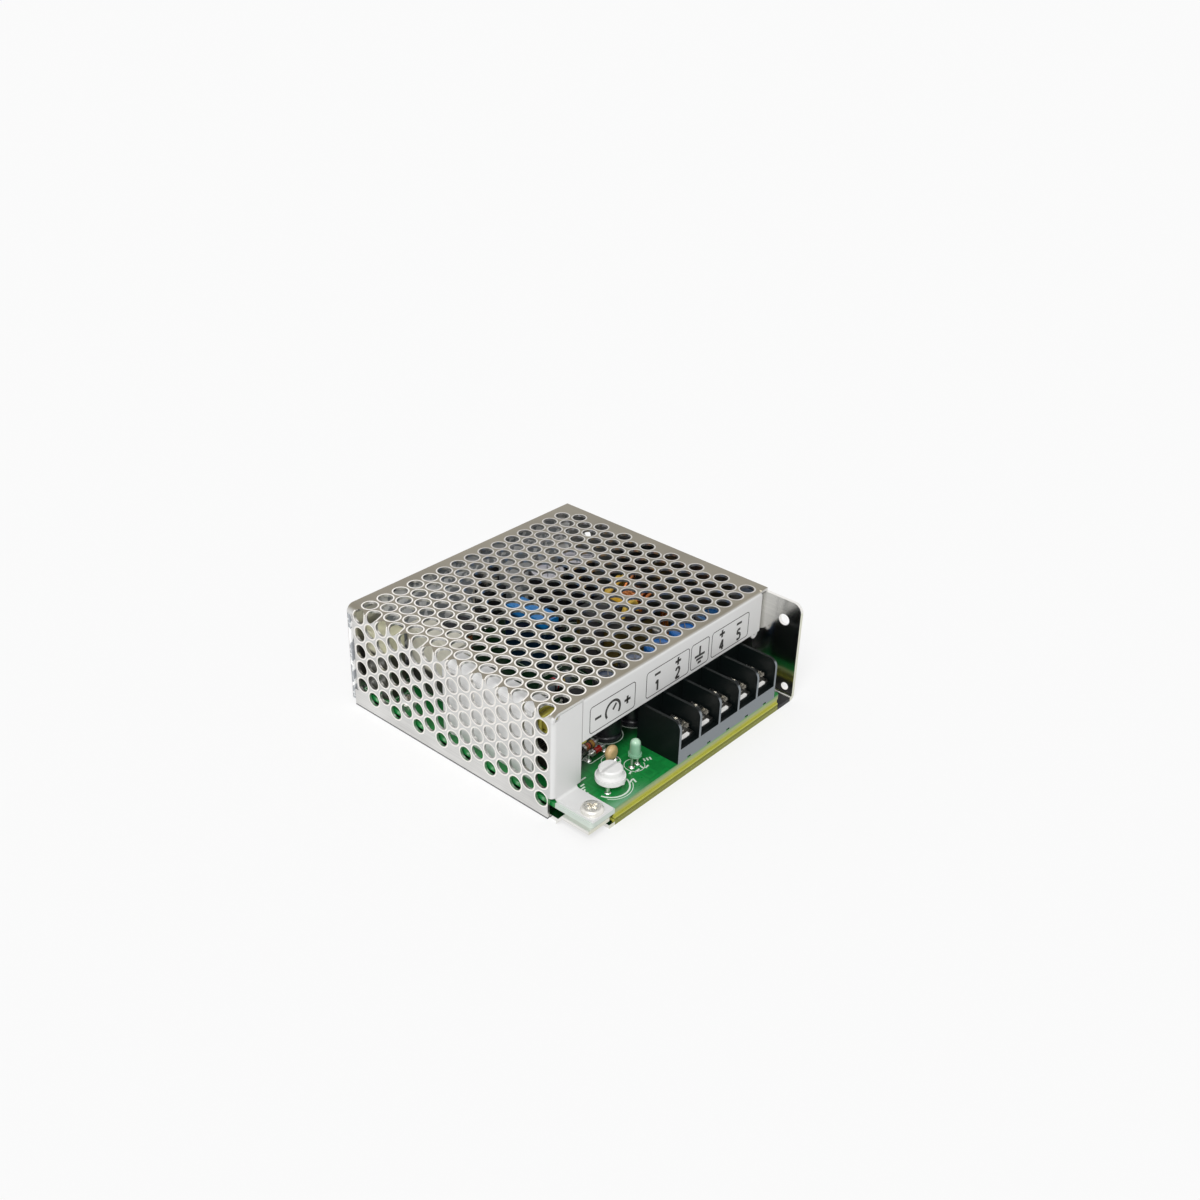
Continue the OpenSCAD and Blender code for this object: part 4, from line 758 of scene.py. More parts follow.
class LabelPrint(bpy.types.Operator):
    """Print plain signs and numbers on the label strip"""

    bl_idname = "converter.label_print"
    bl_label = "Label print"

    # Frames, in millimetres: the ends of each along X, the height of their feet and heads, and their corners
    FRAMES = [(-33.6, -14.5), (-9.5, 10.0), (11.0, 19.5), (21.0, 39.5)]
    FRAME_FOOT = 21.6
    FRAME_HEAD = 30.2
    FRAME_CORNER = 1.0
    # Dial, in millimetres and degrees: its middle, radius and ends, its hand's length and slope, its signs
    DIAL = (-24.0, 25.2)
    DIAL_R = 3.0
    DIAL_ENDS = (215, -35)
    DIAL_HAND = 2.2
    DIAL_SLOPE = 1.2
    DIAL_MINUS = (-30.2, 25.6)
    DIAL_PLUS = (-17.8, 25.6)
    # Numbers of the poles with their places along X, and whether a plus stands over each
    NUMBERS = [(1, -4.6, False), (2, 4.8, True), (4, 26.0, True), (5, 34.6, False)]
    NUMBER_SIDE = 0.9
    NUMBER_WIDE = 3.0
    NUMBER_TALL = 3.5
    NUMBER_FOOT = 22.4
    SIGN_LEVEL = 28.1
    SIGN_HALF = 1.3
    # Earth sign: its place beside the third pole, its stem, and its bars
    EARTH_SIDE = 1.6
    EARTH_LEVEL = 25.4
    EARTH_STEM = 3.2
    EARTH_HALF = 2.4
    EARTH_TAPER = 0.8
    EARTH_DROP = 1.2
    # Strokes of each number in a field one high
    DIGITS = {
        1: [[(0.08, 0.74), (0.36, 1.0)], [(0.36, 1.0), (0.36, 0.0)]],
        2: [[(0.02, 0.74), (0.1, 0.93), (0.3, 1.0), (0.5, 0.93), (0.57, 0.74), (0.48, 0.5), (0.02, 0.0)],
            [(0.0, 0.0), (0.62, 0.0)]],
        4: [[(0.44, 0.0), (0.44, 1.0)], [(0.44, 1.0), (0.0, 0.3)], [(0.0, 0.3), (0.64, 0.3)]],
        5: [[(0.56, 1.0), (0.12, 1.0)], [(0.12, 1.0), (0.07, 0.57)],
            [(0.07, 0.57), (0.3, 0.64), (0.53, 0.52), (0.6, 0.3), (0.5, 0.08), (0.28, 0.0), (0.03, 0.1)]],
    }

    def execute(self, context):
        sheet = context.scene.converter_sheet
        self.bold = sheet.bold
        self.shapes = []
        self.frames(sheet.line)
        self.dial()
        self.numbers()
        self.earth(POLES[2] / MM + self.EARTH_SIDE, self.EARTH_LEVEL)
        finish = Finish("label_ink", sheet.ink, 0.55, spread=0.15, grain=2500)
        piece("label_print", join(self.shapes), finish, smooth=False)
        return {"FINISHED"}

    def spot(self, x, z):
        """A point on the face of the label strip, from millimetres."""
        return np.array([x * MM, STRIP_Y + INK_SINK, z * MM])

    def stroke(self, path):
        """One open stroke of ink."""
        self.shapes.append(ribbon(path, -Y, self.bold, INK_RISE))

    def frames(self, line):
        """Thin frames round the groups of signs."""
        for left, right in self.FRAMES:
            low = self.spot(left, self.FRAME_FOOT)
            high = self.spot(right, self.FRAME_HEAD)
            path = round_box_path(low, high, X, Z, self.FRAME_CORNER * MM)
            self.shapes.append(ribbon(path, -Y, line, INK_RISE, True))

    def dial(self):
        """An arc with a hand, between a minus and a plus."""
        middle = self.spot(*self.DIAL)
        self.stroke(arc_path(middle, X, Z, self.DIAL_R * MM, *self.DIAL_ENDS))
        self.stroke([middle, middle + self.DIAL_HAND * MM * unit(X + self.DIAL_SLOPE * Z)])
        self.minus(*self.DIAL_MINUS)
        self.plus(*self.DIAL_PLUS)

    def numbers(self):
        """The poles' numbers, each with its sign over it."""
        for number, place, positive in self.NUMBERS:
            sign = self.plus if positive else self.minus
            sign(place, self.SIGN_LEVEL)
            left = place - self.NUMBER_SIDE
            for stroke in self.DIGITS[number]:
                self.stroke([
                    self.spot(left + self.NUMBER_WIDE * u, self.NUMBER_FOOT + self.NUMBER_TALL * v)
                    for u, v in stroke
                ])

    def minus(self, x, z):
        """A minus sign."""
        self.stroke([self.spot(x - self.SIGN_HALF, z), self.spot(x + self.SIGN_HALF, z)])

    def plus(self, x, z):
        """A plus sign."""
        self.minus(x, z)
        self.stroke([self.spot(x, z - self.SIGN_HALF), self.spot(x, z + self.SIGN_HALF)])

    def earth(self, x, z):
        """The earth sign: a stem on three bars that grow shorter downwards."""
        self.stroke([self.spot(x, z + self.EARTH_STEM), self.spot(x, z)])
        for i in range(3):
            half = self.EARTH_HALF - self.EARTH_TAPER * i
            level = z - self.EARTH_DROP * i
            self.stroke([self.spot(x - half, level), self.spot(x + half, level)])


class Board(bpy.types.Operator):
    """Finish the circuit board and the film, and add printed outlines and solder joints"""

    bl_idname = "converter.board"
    bl_label = "Circuit board"

    # Pattern of the traces: cells to a metre, and the step of the lines in a cell
    TRACE_CELLS = 150
    TRACE_STEP = 0.22
    # Where the painted shade on the lacquer begins, behind the label strip and from the left edge
    SHADE_BACK = (2 * MM, 8 * MM)
    SHADE_SIDE = (10 * MM, 16 * MM)
    # Where its painted sheen grows, from the left edge and from the front edge
    SHEEN_SIDE = (27 * MM, 13 * MM)
    SHEEN_FRONT = (4.5 * MM, 0)
    # Bare edges: depth in front, height at which they turn green, pale strips beside and before the tab
    BARE_DEPTH = 0.2 * MM
    BARE_HEIGHT = 0.6 * MM
    PALE_SIDE = 1.6 * MM
    PALE_FRONT = 0.9 * MM
    # Height and depth of the film's folded hem, and how far below it the dark hem ends and the line of
    # painted shade in the crease lies
    HEM = 1.3 * MM
    HEM_DEPTH = 0.2 * MM
    HEM_DOWN = 0.45 * MM
    CREASE_DOWN = 0.6 * MM
    CREASE_HALF = 0.15 * MM
    # Parts with a round outline and parts with a square one, and the room between part and outline
    ROUND = ["small_capacitor", *OUTPUT_CAPS, *INPUT_CAPS, "input_choke_core", "disc_capacitor"]
    SQUARE = ["blue_film_capacitor", "cream_film_capacitor", "yellow_film_capacitor", "power_resistor",
              "optocoupler", "control_chip", "transformer_core", "glass_diode", "small_resistor"]
    ROUND_ROOM = 0.5 * MM
    SQUARE_ROOM = 0.6 * MM
    CORNER = 0.5 * MM
    # Arcs round the lamp and before the trimmer: radius or room outside the trimmer, and ends in degrees
    LAMP_ARC = (3.0 * MM, 20, 340)
    TRIMMER_ARC = (1.2 * MM, 195, 345)
    TRIMMER_LINE = (2.1 * MM, 215, 325)
    # Printed bars beside the lamp and the trimmer: place from its middle, length and turn in degrees
    LAMP_BARS = [(-3.4, -1.4, 1.6, 20), (-1.4, -2.2, 2.0, 0), (0.8, -2.0, 1.4, 80), (2.0, -3.0, 1.6, 10),
                 (3.9, -0.4, 1.3, 65), (4.8, -0.8, 1.3, 65), (5.7, -1.2, 1.3, 65), (-5.4, -4.6, 1.8, 70),
                 (-3.6, 3.0, 2.0, 30), (-2.2, 4.2, 1.6, 0)]
    TRIMMER_BARS = [(-5.4, 5.6, 1.6, 0), (-6.2, 4.6, 1.6, 0), (-7.0, 3.4, 1.8, 30), (-7.4, 2.2, 1.4, 0),
                    (-3.0, 7.4, 2.0, 0), (5.6, -3.0, 1.6, 20)]
    # Solder under and on the board, in millimetres: thickness at the pad's edge, then radius and height of
    # points on the slope up to the lead
    CONE = (0.06, [(0.62, 0.3), (0.42, 0.95), (0.3, 1.0)])
    COLLAR = (0.05, [(0.6, 0.18), (0.42, 0.45), (0.3, 0.5)])
    LEAD_R = 0.3

    def execute(self, context):
        board = context.scene.converter_board
        self.lacquer(board)
        self.film(board)
        self.marks(board)
        self.joints(board)
        return {"FINISHED"}

    def lacquer(self, board):
        """Green lacquer over traces, painted shade under the cover, with a painted sheen at the front left.
        """
        finish = Finish("board_lacquer", board.lacquer, 0.32, spread=0.06, grain=500)
        cells = finish.node(
            "TexVoronoi", "Distance",
            {"Vector": finish.stretched(FLAT), "Scale": self.TRACE_CELLS, "Randomness": 0.7},
            feature="F1", distance="CHEBYCHEV",
        )
        traces = finish.lines(cells, self.TRACE_STEP, 0.5)
        finish.cover(traces, shade(board.lacquer, 1.2))
        finish.relief(traces, 0.04 * MM, 0.4)
        left, front = BOARD.low[:2]
        # Painted shade: the lacquer under the cover is painted near-black green.
        covered_shade = finish.both(
            finish.growing(1, STRIP_Y, self.SHADE_BACK),
            finish.growing(0, left, self.SHADE_SIDE),
        )
        finish.cover(covered_shade, shade(board.lacquer, 0.12))
        # Painted sheen: lighter green towards the front left corner.
        sheen = finish.both(
            finish.growing(0, left, self.SHEEN_SIDE),
            finish.growing(1, front, self.SHEEN_FRONT),
        )
        finish.cover(sheen, board.sheen)
        self.bare_edges(finish, board)
        finish.on("circuit_board")

    def bare_edges(self, finish, board):
        """Bare laminate on the cut edges in front of the label strip, pale at the screw tab."""
        left, front, bottom = BOARD.low
        outside = finish.below(1, STRIP_Y)
        upright = finish.math("LESS_THAN", finish.math("ABSOLUTE", finish.facing(2)), 0.5)
        bare = finish.either(finish.both(upright, outside), finish.below(1, front + self.BARE_DEPTH))
        finish.cover(bare, board.margin, 0.5)
        upper = finish.rising(finish.along(2), bottom + self.BARE_HEIGHT, BOARD.high[2])
        finish.cover(finish.both(bare, upper), board.upper)
        beside_tab = finish.both(finish.below(0, left + self.PALE_SIDE), outside)
        before_tab = finish.both(finish.below(0, FILM.low[0]), finish.below(1, front + self.PALE_FRONT))
        finish.cover(finish.either(beside_tab, before_tab), board.pale, 0.5)

    def film(self, board):
        """Satin film with a darker hem folded up in front and a line of painted shade in the crease along it.
        """
        finish = Finish("insulating_film", board.film, 0.35, spread=0.05, grain=300)
        fold = FILM.low[2] + self.HEM
        hem = finish.both(
            finish.below(1, CASE.low[1] + self.HEM_DEPTH),
            finish.below(2, fold - self.HEM_DOWN),
        )
        finish.cover(hem, board.hem, 0.45)
        # Painted shade: a dark line in the crease.
        crease = finish.within(finish.along(2), fold - self.CREASE_DOWN, self.CREASE_HALF)
        finish.cover(crease, shade(board.hem, 0.6))
        finish.set(Specular_IOR_Level=0.2)
        finish.on("insulating_film")

    def marks(self, board):
        """Printed outlines round the parts, arcs at the trimmer and the lamp, and short bars beside them."""
        level = Z * (BOARD.high[2] - INK_SINK)
        outlines = [self.round_outline(span(node), level) for node in self.ROUND]
        outlines += [self.square_outline(span(node), level) for node in self.SQUARE]
        shapes = [ribbon(path, Z, board.line, INK_RISE, True) for path in outlines]
        box = span("trimmer_base")
        trimmer = box.middle * FLAT + level
        lamp = span("indicator_lamp").middle * FLAT + level
        for middle, inner, (room, start, end), width in [
            (trimmer, box.half[0], self.TRIMMER_ARC, board.bar),
            (trimmer, box.half[0], self.TRIMMER_LINE, board.line),
            (lamp, 0, self.LAMP_ARC, board.line),
        ]:
            shapes.append(ribbon(arc_path(middle, X, Y, inner + room, start, end), Z, width, INK_RISE))
        for middle, bars in [(lamp, self.LAMP_BARS), (trimmer, self.TRIMMER_BARS)]:
            for x, y, long, turn in bars:
                spot = middle + (x * X + y * Y) * MM
                half = (np.cos(np.radians(turn)) * X + np.sin(np.radians(turn)) * Y) * long / 2 * MM
                shapes.append(ribbon([spot - half, spot + half], Z, board.bar, INK_RISE))
        finish = Finish("board_print", board.print, 0.6, spread=0.05, grain=2000)
        piece("board_print", join(shapes), finish, smooth=False)

    def round_outline(self, box, level):
        """A closed circle round a part, with a point every ten degrees."""
        return arc_path(box.middle * FLAT + level, X, Y, box.half[0] + self.ROUND_ROOM, 0, 350, 36)

    def square_outline(self, box, level):
        """A closed rectangle with small round corners round a part."""
        low = (box.low - self.SQUARE_ROOM) * FLAT + level
        high = (box.high + self.SQUARE_ROOM) * FLAT + level
        return round_box_path(low, high, X, Y, self.CORNER)

    def joints(self, board):
        """Solder cones under the board and low collars on it, round each lead that passes through."""
        spots = np.concatenate([lead_spots(node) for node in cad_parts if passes_board(node)]) * FLAT
        under = self.solder(board.pad, *self.CONE, BOARD.low[2], -1)
        over = self.solder(board.pad, *self.COLLAR, BOARD.high[2], 1)
        finish = Finish("solder", board.solder, 0.3, 1.0, spread=0.08, grain=1200, bump=0.03 * MM)
        shape = join([rings(spots, X, Y, profile, 12) for profile in (under, over)])
        piece("solder_joints", shape, finish)

    def solder(self, pad, thick, slope, face, way):
        """Profile of a joint on a face of the board: from inside the board over the pad and up the slope."""
        sunk = face - way * HAIR
        outer = [(self.LEAD_R * MM, sunk), (pad, sunk), (pad, face + way * thick * MM)]
        return outer + [(radius * MM, face + way * rise * MM) for radius, rise in slope]


class Terminals(bpy.types.Operator):
    """Finish the terminal block, its contacts, clamps and screws"""

    bl_idname = "converter.terminals"
    bl_label = "Terminals"

    # Depth of the block's front with painted light, depth of the contacts' lips and the share of a pole's
    # width that their painted highlights take
    LIT_FRONT_DEPTH = 1.2 * MM
    LIP_DEPTH = 0.9 * MM
    LIT_SHARE = 0.58

    def execute(self, context):
        parts = context.scene.converter_parts
        self.block(parts)
        self.contacts(parts)
        nickel_finish("clamp_plate", shade(parts.nickel, 0.6), 0.26).on(*CLAMPS)
        nickel_finish("screw_plate", parts.nickel, 0.22).on(*TERMINAL_SCREWS)
        return {"FINISHED"}

    def block(self, parts):
        """Black moulding, with painted light that makes its forward faces grey in front."""
        finish = Finish("terminal_moulding", parts.block, 0.38, spread=0.2, grain=2500, bump=0.02 * MM)
        # Painted light: the forward faces in front are painted grey.
        forward = finish.rising(finish.math("MULTIPLY", finish.facing(1), -1.0), 0.6, 0.9)
        outer = finish.below(1, span("terminal_housing").low[1] + self.LIT_FRONT_DEPTH)
        finish.cover(finish.both(forward, outer), parts.block_front, 0.5)
        finish.set(Specular_IOR_Level=0.2)
        finish.on("terminal_housing")

    def contacts(self, parts):
        """Plating painted dark for the dark reflections in the bays, with painted highlights on the left
        parts of the contacts' lips in front of the poles.
        """
        # Painted reflection: the plating is painted dark.
        finish = nickel_finish("contact_plate", shade(parts.nickel, 0.28), 0.3)
        low = span("terminal_contacts").low
        phase = finish.math("FRACT", finish.steps(finish.along(0), low[0], POLES[1] - POLES[0]))
        # Painted highlight: the left parts of the contacts' lips.
        lip_highlight = finish.both(
            finish.below(1, low[1] + self.LIP_DEPTH),
            finish.math("LESS_THAN", phase, self.LIT_SHARE),
        )
        finish.cover(lip_highlight, parts.lip_highlight, 0.5, 0.1)
        finish.on("terminal_contacts")


class Controls(bpy.types.Operator):
    """Finish the trimmer and the indicator lamp"""

    bl_idname = "converter.controls"
    bl_label = "Trimmer and lamp"

    # Length of the trimmer's legs, length of the lamp's lens and depth of its pale tip
    LEGS = 5.1 * MM
    LENS = 5.55 * MM
    TIP = 1.6 * MM

    def execute(self, context):
        parts = context.scene.converter_parts
        base = Finish("trimmer_moulding", parts.white, 0.5, spread=0.04, grain=1200, bump=0.02 * MM)
        base.leads(base.below(2, span("trimmer_base").low[2] + self.LEGS))
        base.on("trimmer_base")
        knob = Finish("trimmer_knob", parts.white, 0.45, spread=0.03, grain=1000, bump=0.01 * MM)
        knob.on("trimmer_knob")
        top = span("indicator_lamp").high[2]
        lens = Finish("lamp_lens", parts.lamp, 0.22, spread=0.05, grain=400)
        lens.cover(lens.rising(lens.along(2), top - self.TIP, top), parts.lamp_tip)
        lens.leads(lens.below(2, top - self.LENS))
        lens.set(Subsurface_Weight=0.25, Subsurface_Radius=(0.001, 0.0015, 0.001), Coat_Weight=0.4)
        lens.on("indicator_lamp")
        return {"FINISHED"}


class WoundParts(bpy.types.Operator):
    """Finish the transformer and the chokes, wind the ring choke's wire and band the transformer"""

    bl_idname = "converter.wound_parts"
    bl_label = "Transformer and chokes"

    # Ring choke's wire: its turns, the points in each, the angle that they fill, the ring's middle radius,
    # the wire's reach from there inwards and outwards and to the sides, its own radius, and the points in
    # an end that drops to the board
    TURNS = 12
    TURN_STEPS = 48
    SWING = 300
    RING_R = 6.5 * MM
    REACH = 2.85 * MM
    SIDE_REACH = 4.35 * MM
    CHOKE_WIRE_R = 0.55 * MM
    DROP_STEPS = 8
    # Where the ring choke's painted shade ends, from the height of its middle
    LOWER_SHADE_ENDS = (2 * MM, 0.5 * MM)
    # Steps of the laps and turns that show as stripes on the windings
    LAP = 2.1 * MM
    LAYER_TURN = 0.5 * MM
    BAND_TURN = 0.8 * MM
    # Tape and wire round the core: distance of the left edge from the core's right face, and width
    TAPE_BAND = (12.8 * MM, 4.8 * MM)
    WIRE_BAND = (7.8 * MM, 7.4 * MM)
    BAND_T = 0.15 * MM
    BAND_CORNER = 0.5 * MM
    # Points of the transformer's flying leads, in millimetres from the middle of its core
    SLEEVED = [
        [(2.0, 6.2, 4.5), (2.8, 6.0, 9.0), (5.5, 5.6, 11.5),
         (10.0, 6.4, 11.8), (15.0, 9.0, 8.5), (17.0, 15.0, -10.9)],
        [(4.0, 8.2, 4.5), (5.0, 7.8, 9.0), (8.0, 7.6, 11.2),
         (12.0, 8.8, 10.6), (15.5, 12.0, 4.0), (16.0, 17.0, -10.9)],
        [(-2.0, -4.5, 4.5), (-1.6, -4.6, 8.0), (0.5, -4.6, 11.0), (4.0, -4.6, 10.0), (6.0, -4.5, 4.5)],
    ]
    BARE = [
        [(3.0, -4.6, 4.5), (4.0, -4.6, 9.5), (7.0, -4.6, 11.6),
         (12.0, -4.2, 11.8), (15.5, -6.0, 6.0), (15.5, -8.0, -10.9)],
        [(5.0, -5.8, 4.5), (6.0, -5.8, 9.0), (9.0, -5.8, 11.0),
         (13.0, -5.6, 10.0), (16.5, -7.0, 3.0), (17.0, -9.0, -10.9)],
        [(7.0, 4.4, 4.5), (9.5, 4.4, 10.0), (13.0, 4.8, 11.6),
         (16.5, 6.4, 10.6), (18.0, 9.5, 3.0), (18.5, 12.5, -10.9)],
    ]
    SLEEVE_R = 0.85 * MM
    BARE_R = 0.6 * MM
    LEAD_LEAN = X + 0.3 * Y

    def execute(self, context):
        parts = context.scene.converter_parts
        ferrite = Finish("ferrite", parts.ferrite, 0.62, spread=0.25, grain=1800, bump=0.03 * MM)
        ferrite.on("transformer_core", "input_choke_core")
        bobbin = Finish("bobbin_moulding", parts.bobbin, 0.5, spread=0.15, grain=1500)
        bobbin.leads_to(FEET)
        bobbin.on("transformer_bobbin")
        wrap = Finish("winding_wrap", parts.wrap, 0.35, spread=0.06, grain=250)
        laps = wrap.lines(wrap.along(2), self.LAP, 0.12)
        wrap.cover(laps, shade(parts.wrap, 0.6))
        wrap.relief(laps, 0.1 * MM, 0.4)
        wrap.on("transformer_winding")
        layers = wire_finish("layer_wire", parts.copper)
        layers.cover(layers.lines(layers.along(2), self.LAYER_TURN, 0.3, 0.3), shade(parts.copper, 0.35))
        layers.on("input_choke_winding")
        self.ring_choke(parts)
        self.bands(parts)
        self.flying_leads(parts)
        return {"FINISHED"}

    def ring_choke(self, parts):
        """Painted ring core and insulated wire, both with painted shade in their lower half."""
        middle = span("output_choke_core").middle
        ring = Finish("ring_paint", parts.ring, 0.5, spread=0.1, grain=1500, bump=0.03 * MM)
        cord = Finish("choke_wire", parts.cord, 0.35, spread=0.08, grain=500)
        # Painted shade: the lower half of the core and the wire is painted near-black.
        for finish in (ring, cord):
            finish.cover(finish.growing(2, middle[2], self.LOWER_SHADE_ENDS), parts.lower_shade)
        ring.on("output_choke_core")
        piece("choke_wire", self.wound_wire(middle), cord, replaces=["output_choke_winding"])

    def wound_wire(self, middle):
        """Turns round the ring core, with both ends led down to the board.

        At turn angle a and ring angle b the wire lies at the core's middle plus the side reach times the
        signed root of sin a along X, and at the ring's radius plus the reach times the signed root of cos a
        along the spoke at angle b in the YZ plane.
        """
        t = np.linspace(0, 1, self.TURNS * self.TURN_STEPS + 1)
        turn = 2 * np.pi * self.TURNS * t
        swing = np.radians(90 + self.SWING * (t - 0.5))[:, None]
        spoke = np.cos(swing) * Y + np.sin(swing) * Z
        hub = middle + self.RING_R * spoke
        reach = self.REACH * signed_root(np.cos(turn))[:, None]
        coil = hub + reach * spoke + self.SIDE_REACH * signed_root(np.sin(turn))[:, None] * X
        drop = np.linspace(0, 1, self.DROP_STEPS, endpoint=False)[:, None]
        ground = Z * span("output_choke_winding").low[2]
        start = coil[0] * FLAT + ground
        end = coil[-1] * FLAT + ground
        path = np.concatenate([start + (coil[0] - start) * drop, coil, (end + (coil[-1] - end) * drop)[::-1]])
        lean = np.concatenate([
            np.tile(-Y, (self.DROP_STEPS, 1)), coil - hub, np.tile(Y, (self.DROP_STEPS, 1))
        ])
        return sweep(path, lean, circle(8, self.CHOKE_WIRE_R))

    def bands(self, parts):
        """Yellow tape and a layer of copper wire laid round the right half of the transformer's core."""
        tape = Finish("core_tape", parts.tape, 0.35, spread=0.06, grain=300)
        wire = wire_finish("core_band", parts.copper)
        wire.cover(wire.lines(wire.along(0), self.BAND_TURN, 0.25, 0.3), shade(parts.copper, 0.4))
        piece("core_tape", self.core_band(*self.TAPE_BAND), tape)
        piece("core_band", self.core_band(*self.WIRE_BAND), wire)

    def core_band(self, start, wide):
        """A thin band round the core: a flat section carried round the core's rounded YZ outline."""
        core = span("transformer_core")
        left = (core.high[0] - start) * X
        path = round_box_path(core.low * (Y + Z) + left, core.high * (Y + Z) + left, Y, Z, self.BAND_CORNER)
        return hoop(path, X, [(-HAIR, 0), (self.BAND_T, 0), (self.BAND_T, wide), (-HAIR, wide)])

    def flying_leads(self, parts):
        """Sleeved and bare leads that rise from the transformer's winding and drop to the board beside it."""
        sleeve = Finish("lead_sleeve", parts.sleeve, 0.4, spread=0.06, grain=400)
        wire = wire_finish("lead_wire", parts.copper)
        piece("sleeved_leads", self.routed(self.SLEEVED, self.SLEEVE_R), sleeve)
        piece("bare_leads", self.routed(self.BARE, self.BARE_R), wire)

    def routed(self, routes, radius):
        """Round wires along routes: a circle carried along the smooth path through each route's points."""
        middle = span("transformer_core").middle
        paths = [curve(np.array(spots) * MM + middle) for spots in routes]
        return join([sweep(path, self.LEAD_LEAN, circle(10, radius)) for path in paths])


class Capacitors(bpy.types.Operator):
    """Finish the capacitors and add the vent scores on the tops of the cans"""

    bl_idname = "converter.capacitors"
    bl_label = "Capacitors"

    # Colour of each black can's top and its share of metal
    BLACK_CANS = {
        OUTPUT_CAPS[0]: ((0.02, 0.12, 0.30), 0.3),
        OUTPUT_CAPS[3]: ((0.20, 0.24, 0.34), 0.3),
        "small_capacitor": ((0.10, 0.13, 0.20), 0.3),
        INPUT_CAPS[0]: ((0.70, 0.69, 0.74), 0.6),
        INPUT_CAPS[1]: ((0.70, 0.69, 0.74), 0.6),
    }
    BLUE_CANS = OUTPUT_CAPS[1:3]
    # Colour and roughness of each resin case, and the depth of its bright part below its top, under which
    # painted shade darkens it
    CASES = {
        "blue_film_capacitor": ((0.007, 0.24, 0.66), 0.3, 1.5 * MM),
        "cream_film_capacitor": ((0.80, 0.77, 0.66), 0.4, 11 * MM),
        "yellow_film_capacitor": ((0.66, 0.64, 0.45), 0.4, 6 * MM),
        "disc_capacitor": ((0.55, 0.38, 0.18), 0.45, None),
    }
    SHADE_FADE = 1.5 * MM
    # Width of a can's rolled edge, and depth of the top inside it
    ROLLED = 0.9 * MM
    TOP_DEPTH = 1.5 * MM
    # Middle and half width of the stripe on a sleeve, as angles
    STRIPE = (0.9, 0.32)
    # Scores: distance of their ends from the can's side, width and height
    SCORE_ROOM = 1.6 * MM
    SCORE_WIDE = 0.35 * MM
    SCORE_RISE = 0.05 * MM

    def execute(self, context):
        parts = context.scene.converter_parts
        for node in self.BLUE_CANS:
            self.sleeve(node, parts.blue, parts.blue, 0.0)
        for node, (top, metal) in self.BLACK_CANS.items():
            self.sleeve(node, parts.black, top, metal)
        for node, (base, rough, depth) in self.CASES.items():
            self.case(node, base, rough, depth)
        self.scores(parts.score)
        return {"FINISHED"}

    def sleeve(self, node, base, top, metal):
        """A shrink sleeve with a pale stripe, and the can's own top inside its rolled edge."""
        box = span(node)
        finish = Finish(node, base, 0.3, spread=0.1, grain=350)
        turn = finish.math(
            "ARCTAN2",
            finish.math("SUBTRACT", finish.along(1), box.middle[1]),
            finish.math("SUBTRACT", finish.along(0), box.middle[0]),
        )
        finish.cover(finish.within(turn, *self.STRIPE), faded(base))
        inside = finish.math("LESS_THAN", finish.radius(box.middle), box.half[0] - self.ROLLED)
        raised = finish.above(2, box.high[2] - self.TOP_DEPTH)
        finish.cover(finish.both(inside, raised), top, 0.35, metal)
        finish.leads_to(HAIR)
        finish.set(Coat_Weight=0.3, Coat_Roughness=0.2)
        finish.on(node)

    def case(self, node, base, rough, depth):
        """A resin case on tinned leads, with painted shade below that depth from its top."""
        finish = Finish(node, base, rough, spread=0.08, grain=500, bump=0.02 * MM)
        # Painted shade: the case is painted near-black below that depth.
        if depth:
            level = span(node).high[2] - depth
            finish.cover(finish.rising(finish.along(2), level, level - self.SHADE_FADE), shade(base, 0.06))
        finish.leads_to(HAIR)
        finish.set(Coat_Weight=0.3, Coat_Roughness=0.15)
        finish.on(node)

    def scores(self, base):
        """Cross scores on the can tops: two crossed bands that stand a little proud."""
        shapes = []
        for node in [*OUTPUT_CAPS, *INPUT_CAPS, "small_capacitor"]:
            box = span(node)
            reach = box.half[0] - self.SCORE_ROOM
            middle = box.middle * FLAT + Z * can_top(node)
            for way in (unit(X + Y), unit(X - Y)):
                ends = [middle - reach * way, middle + reach * way]
                shapes.append(ribbon(ends, Z, self.SCORE_WIDE, self.SCORE_RISE))
        finish = Finish("can_score", base, 0.4, 1.0, spread=0.1, grain=900)
        piece("can_scores", join(shapes), finish, smooth=False)


class PowerParts(bpy.types.Operator):
    """Finish the heat sink, the power devices, their pads and the chips"""

    bl_idname = "converter.power_parts"
    bl_label = "Power devices"

    # Height up to which each device shows its leads, and width of the chip's rows of leads
    LEADS = {"rectifier": 3.0 * MM, "switch_transistor": 3.0 * MM, "control_chip": FEET}
    CHIP_SIDE = 0.8 * MM

    def execute(self, context):
        parts = context.scene.converter_parts
        sink = Finish("heat_sink", parts.sink, 0.4, 0.2, spread=0.06, grain=1.0, stretch=(2500, 60, 2500))
        sink.on("heat_sink")
        pad = Finish("insulating_pad", parts.pad, 0.7, spread=0.06, grain=1500)
        pad.on("rectifier_pad", "switch_pad")
        for node, height in self.LEADS.items():
            body = Finish(node, parts.chip, 0.5, spread=0.2, grain=2500, bump=0.02 * MM)
            if node == "control_chip":
                box = span(node)
                body.leads(body.beyond(0, box.middle[0], box.half[0] - self.CHIP_SIDE))
            body.leads_to(height)
            body.on(node)
        opto = Finish("optocoupler", parts.white, 0.5, spread=0.04, grain=1500)
        opto.leads_to(FEET)
        opto.on("optocoupler")
        return {"FINISHED"}


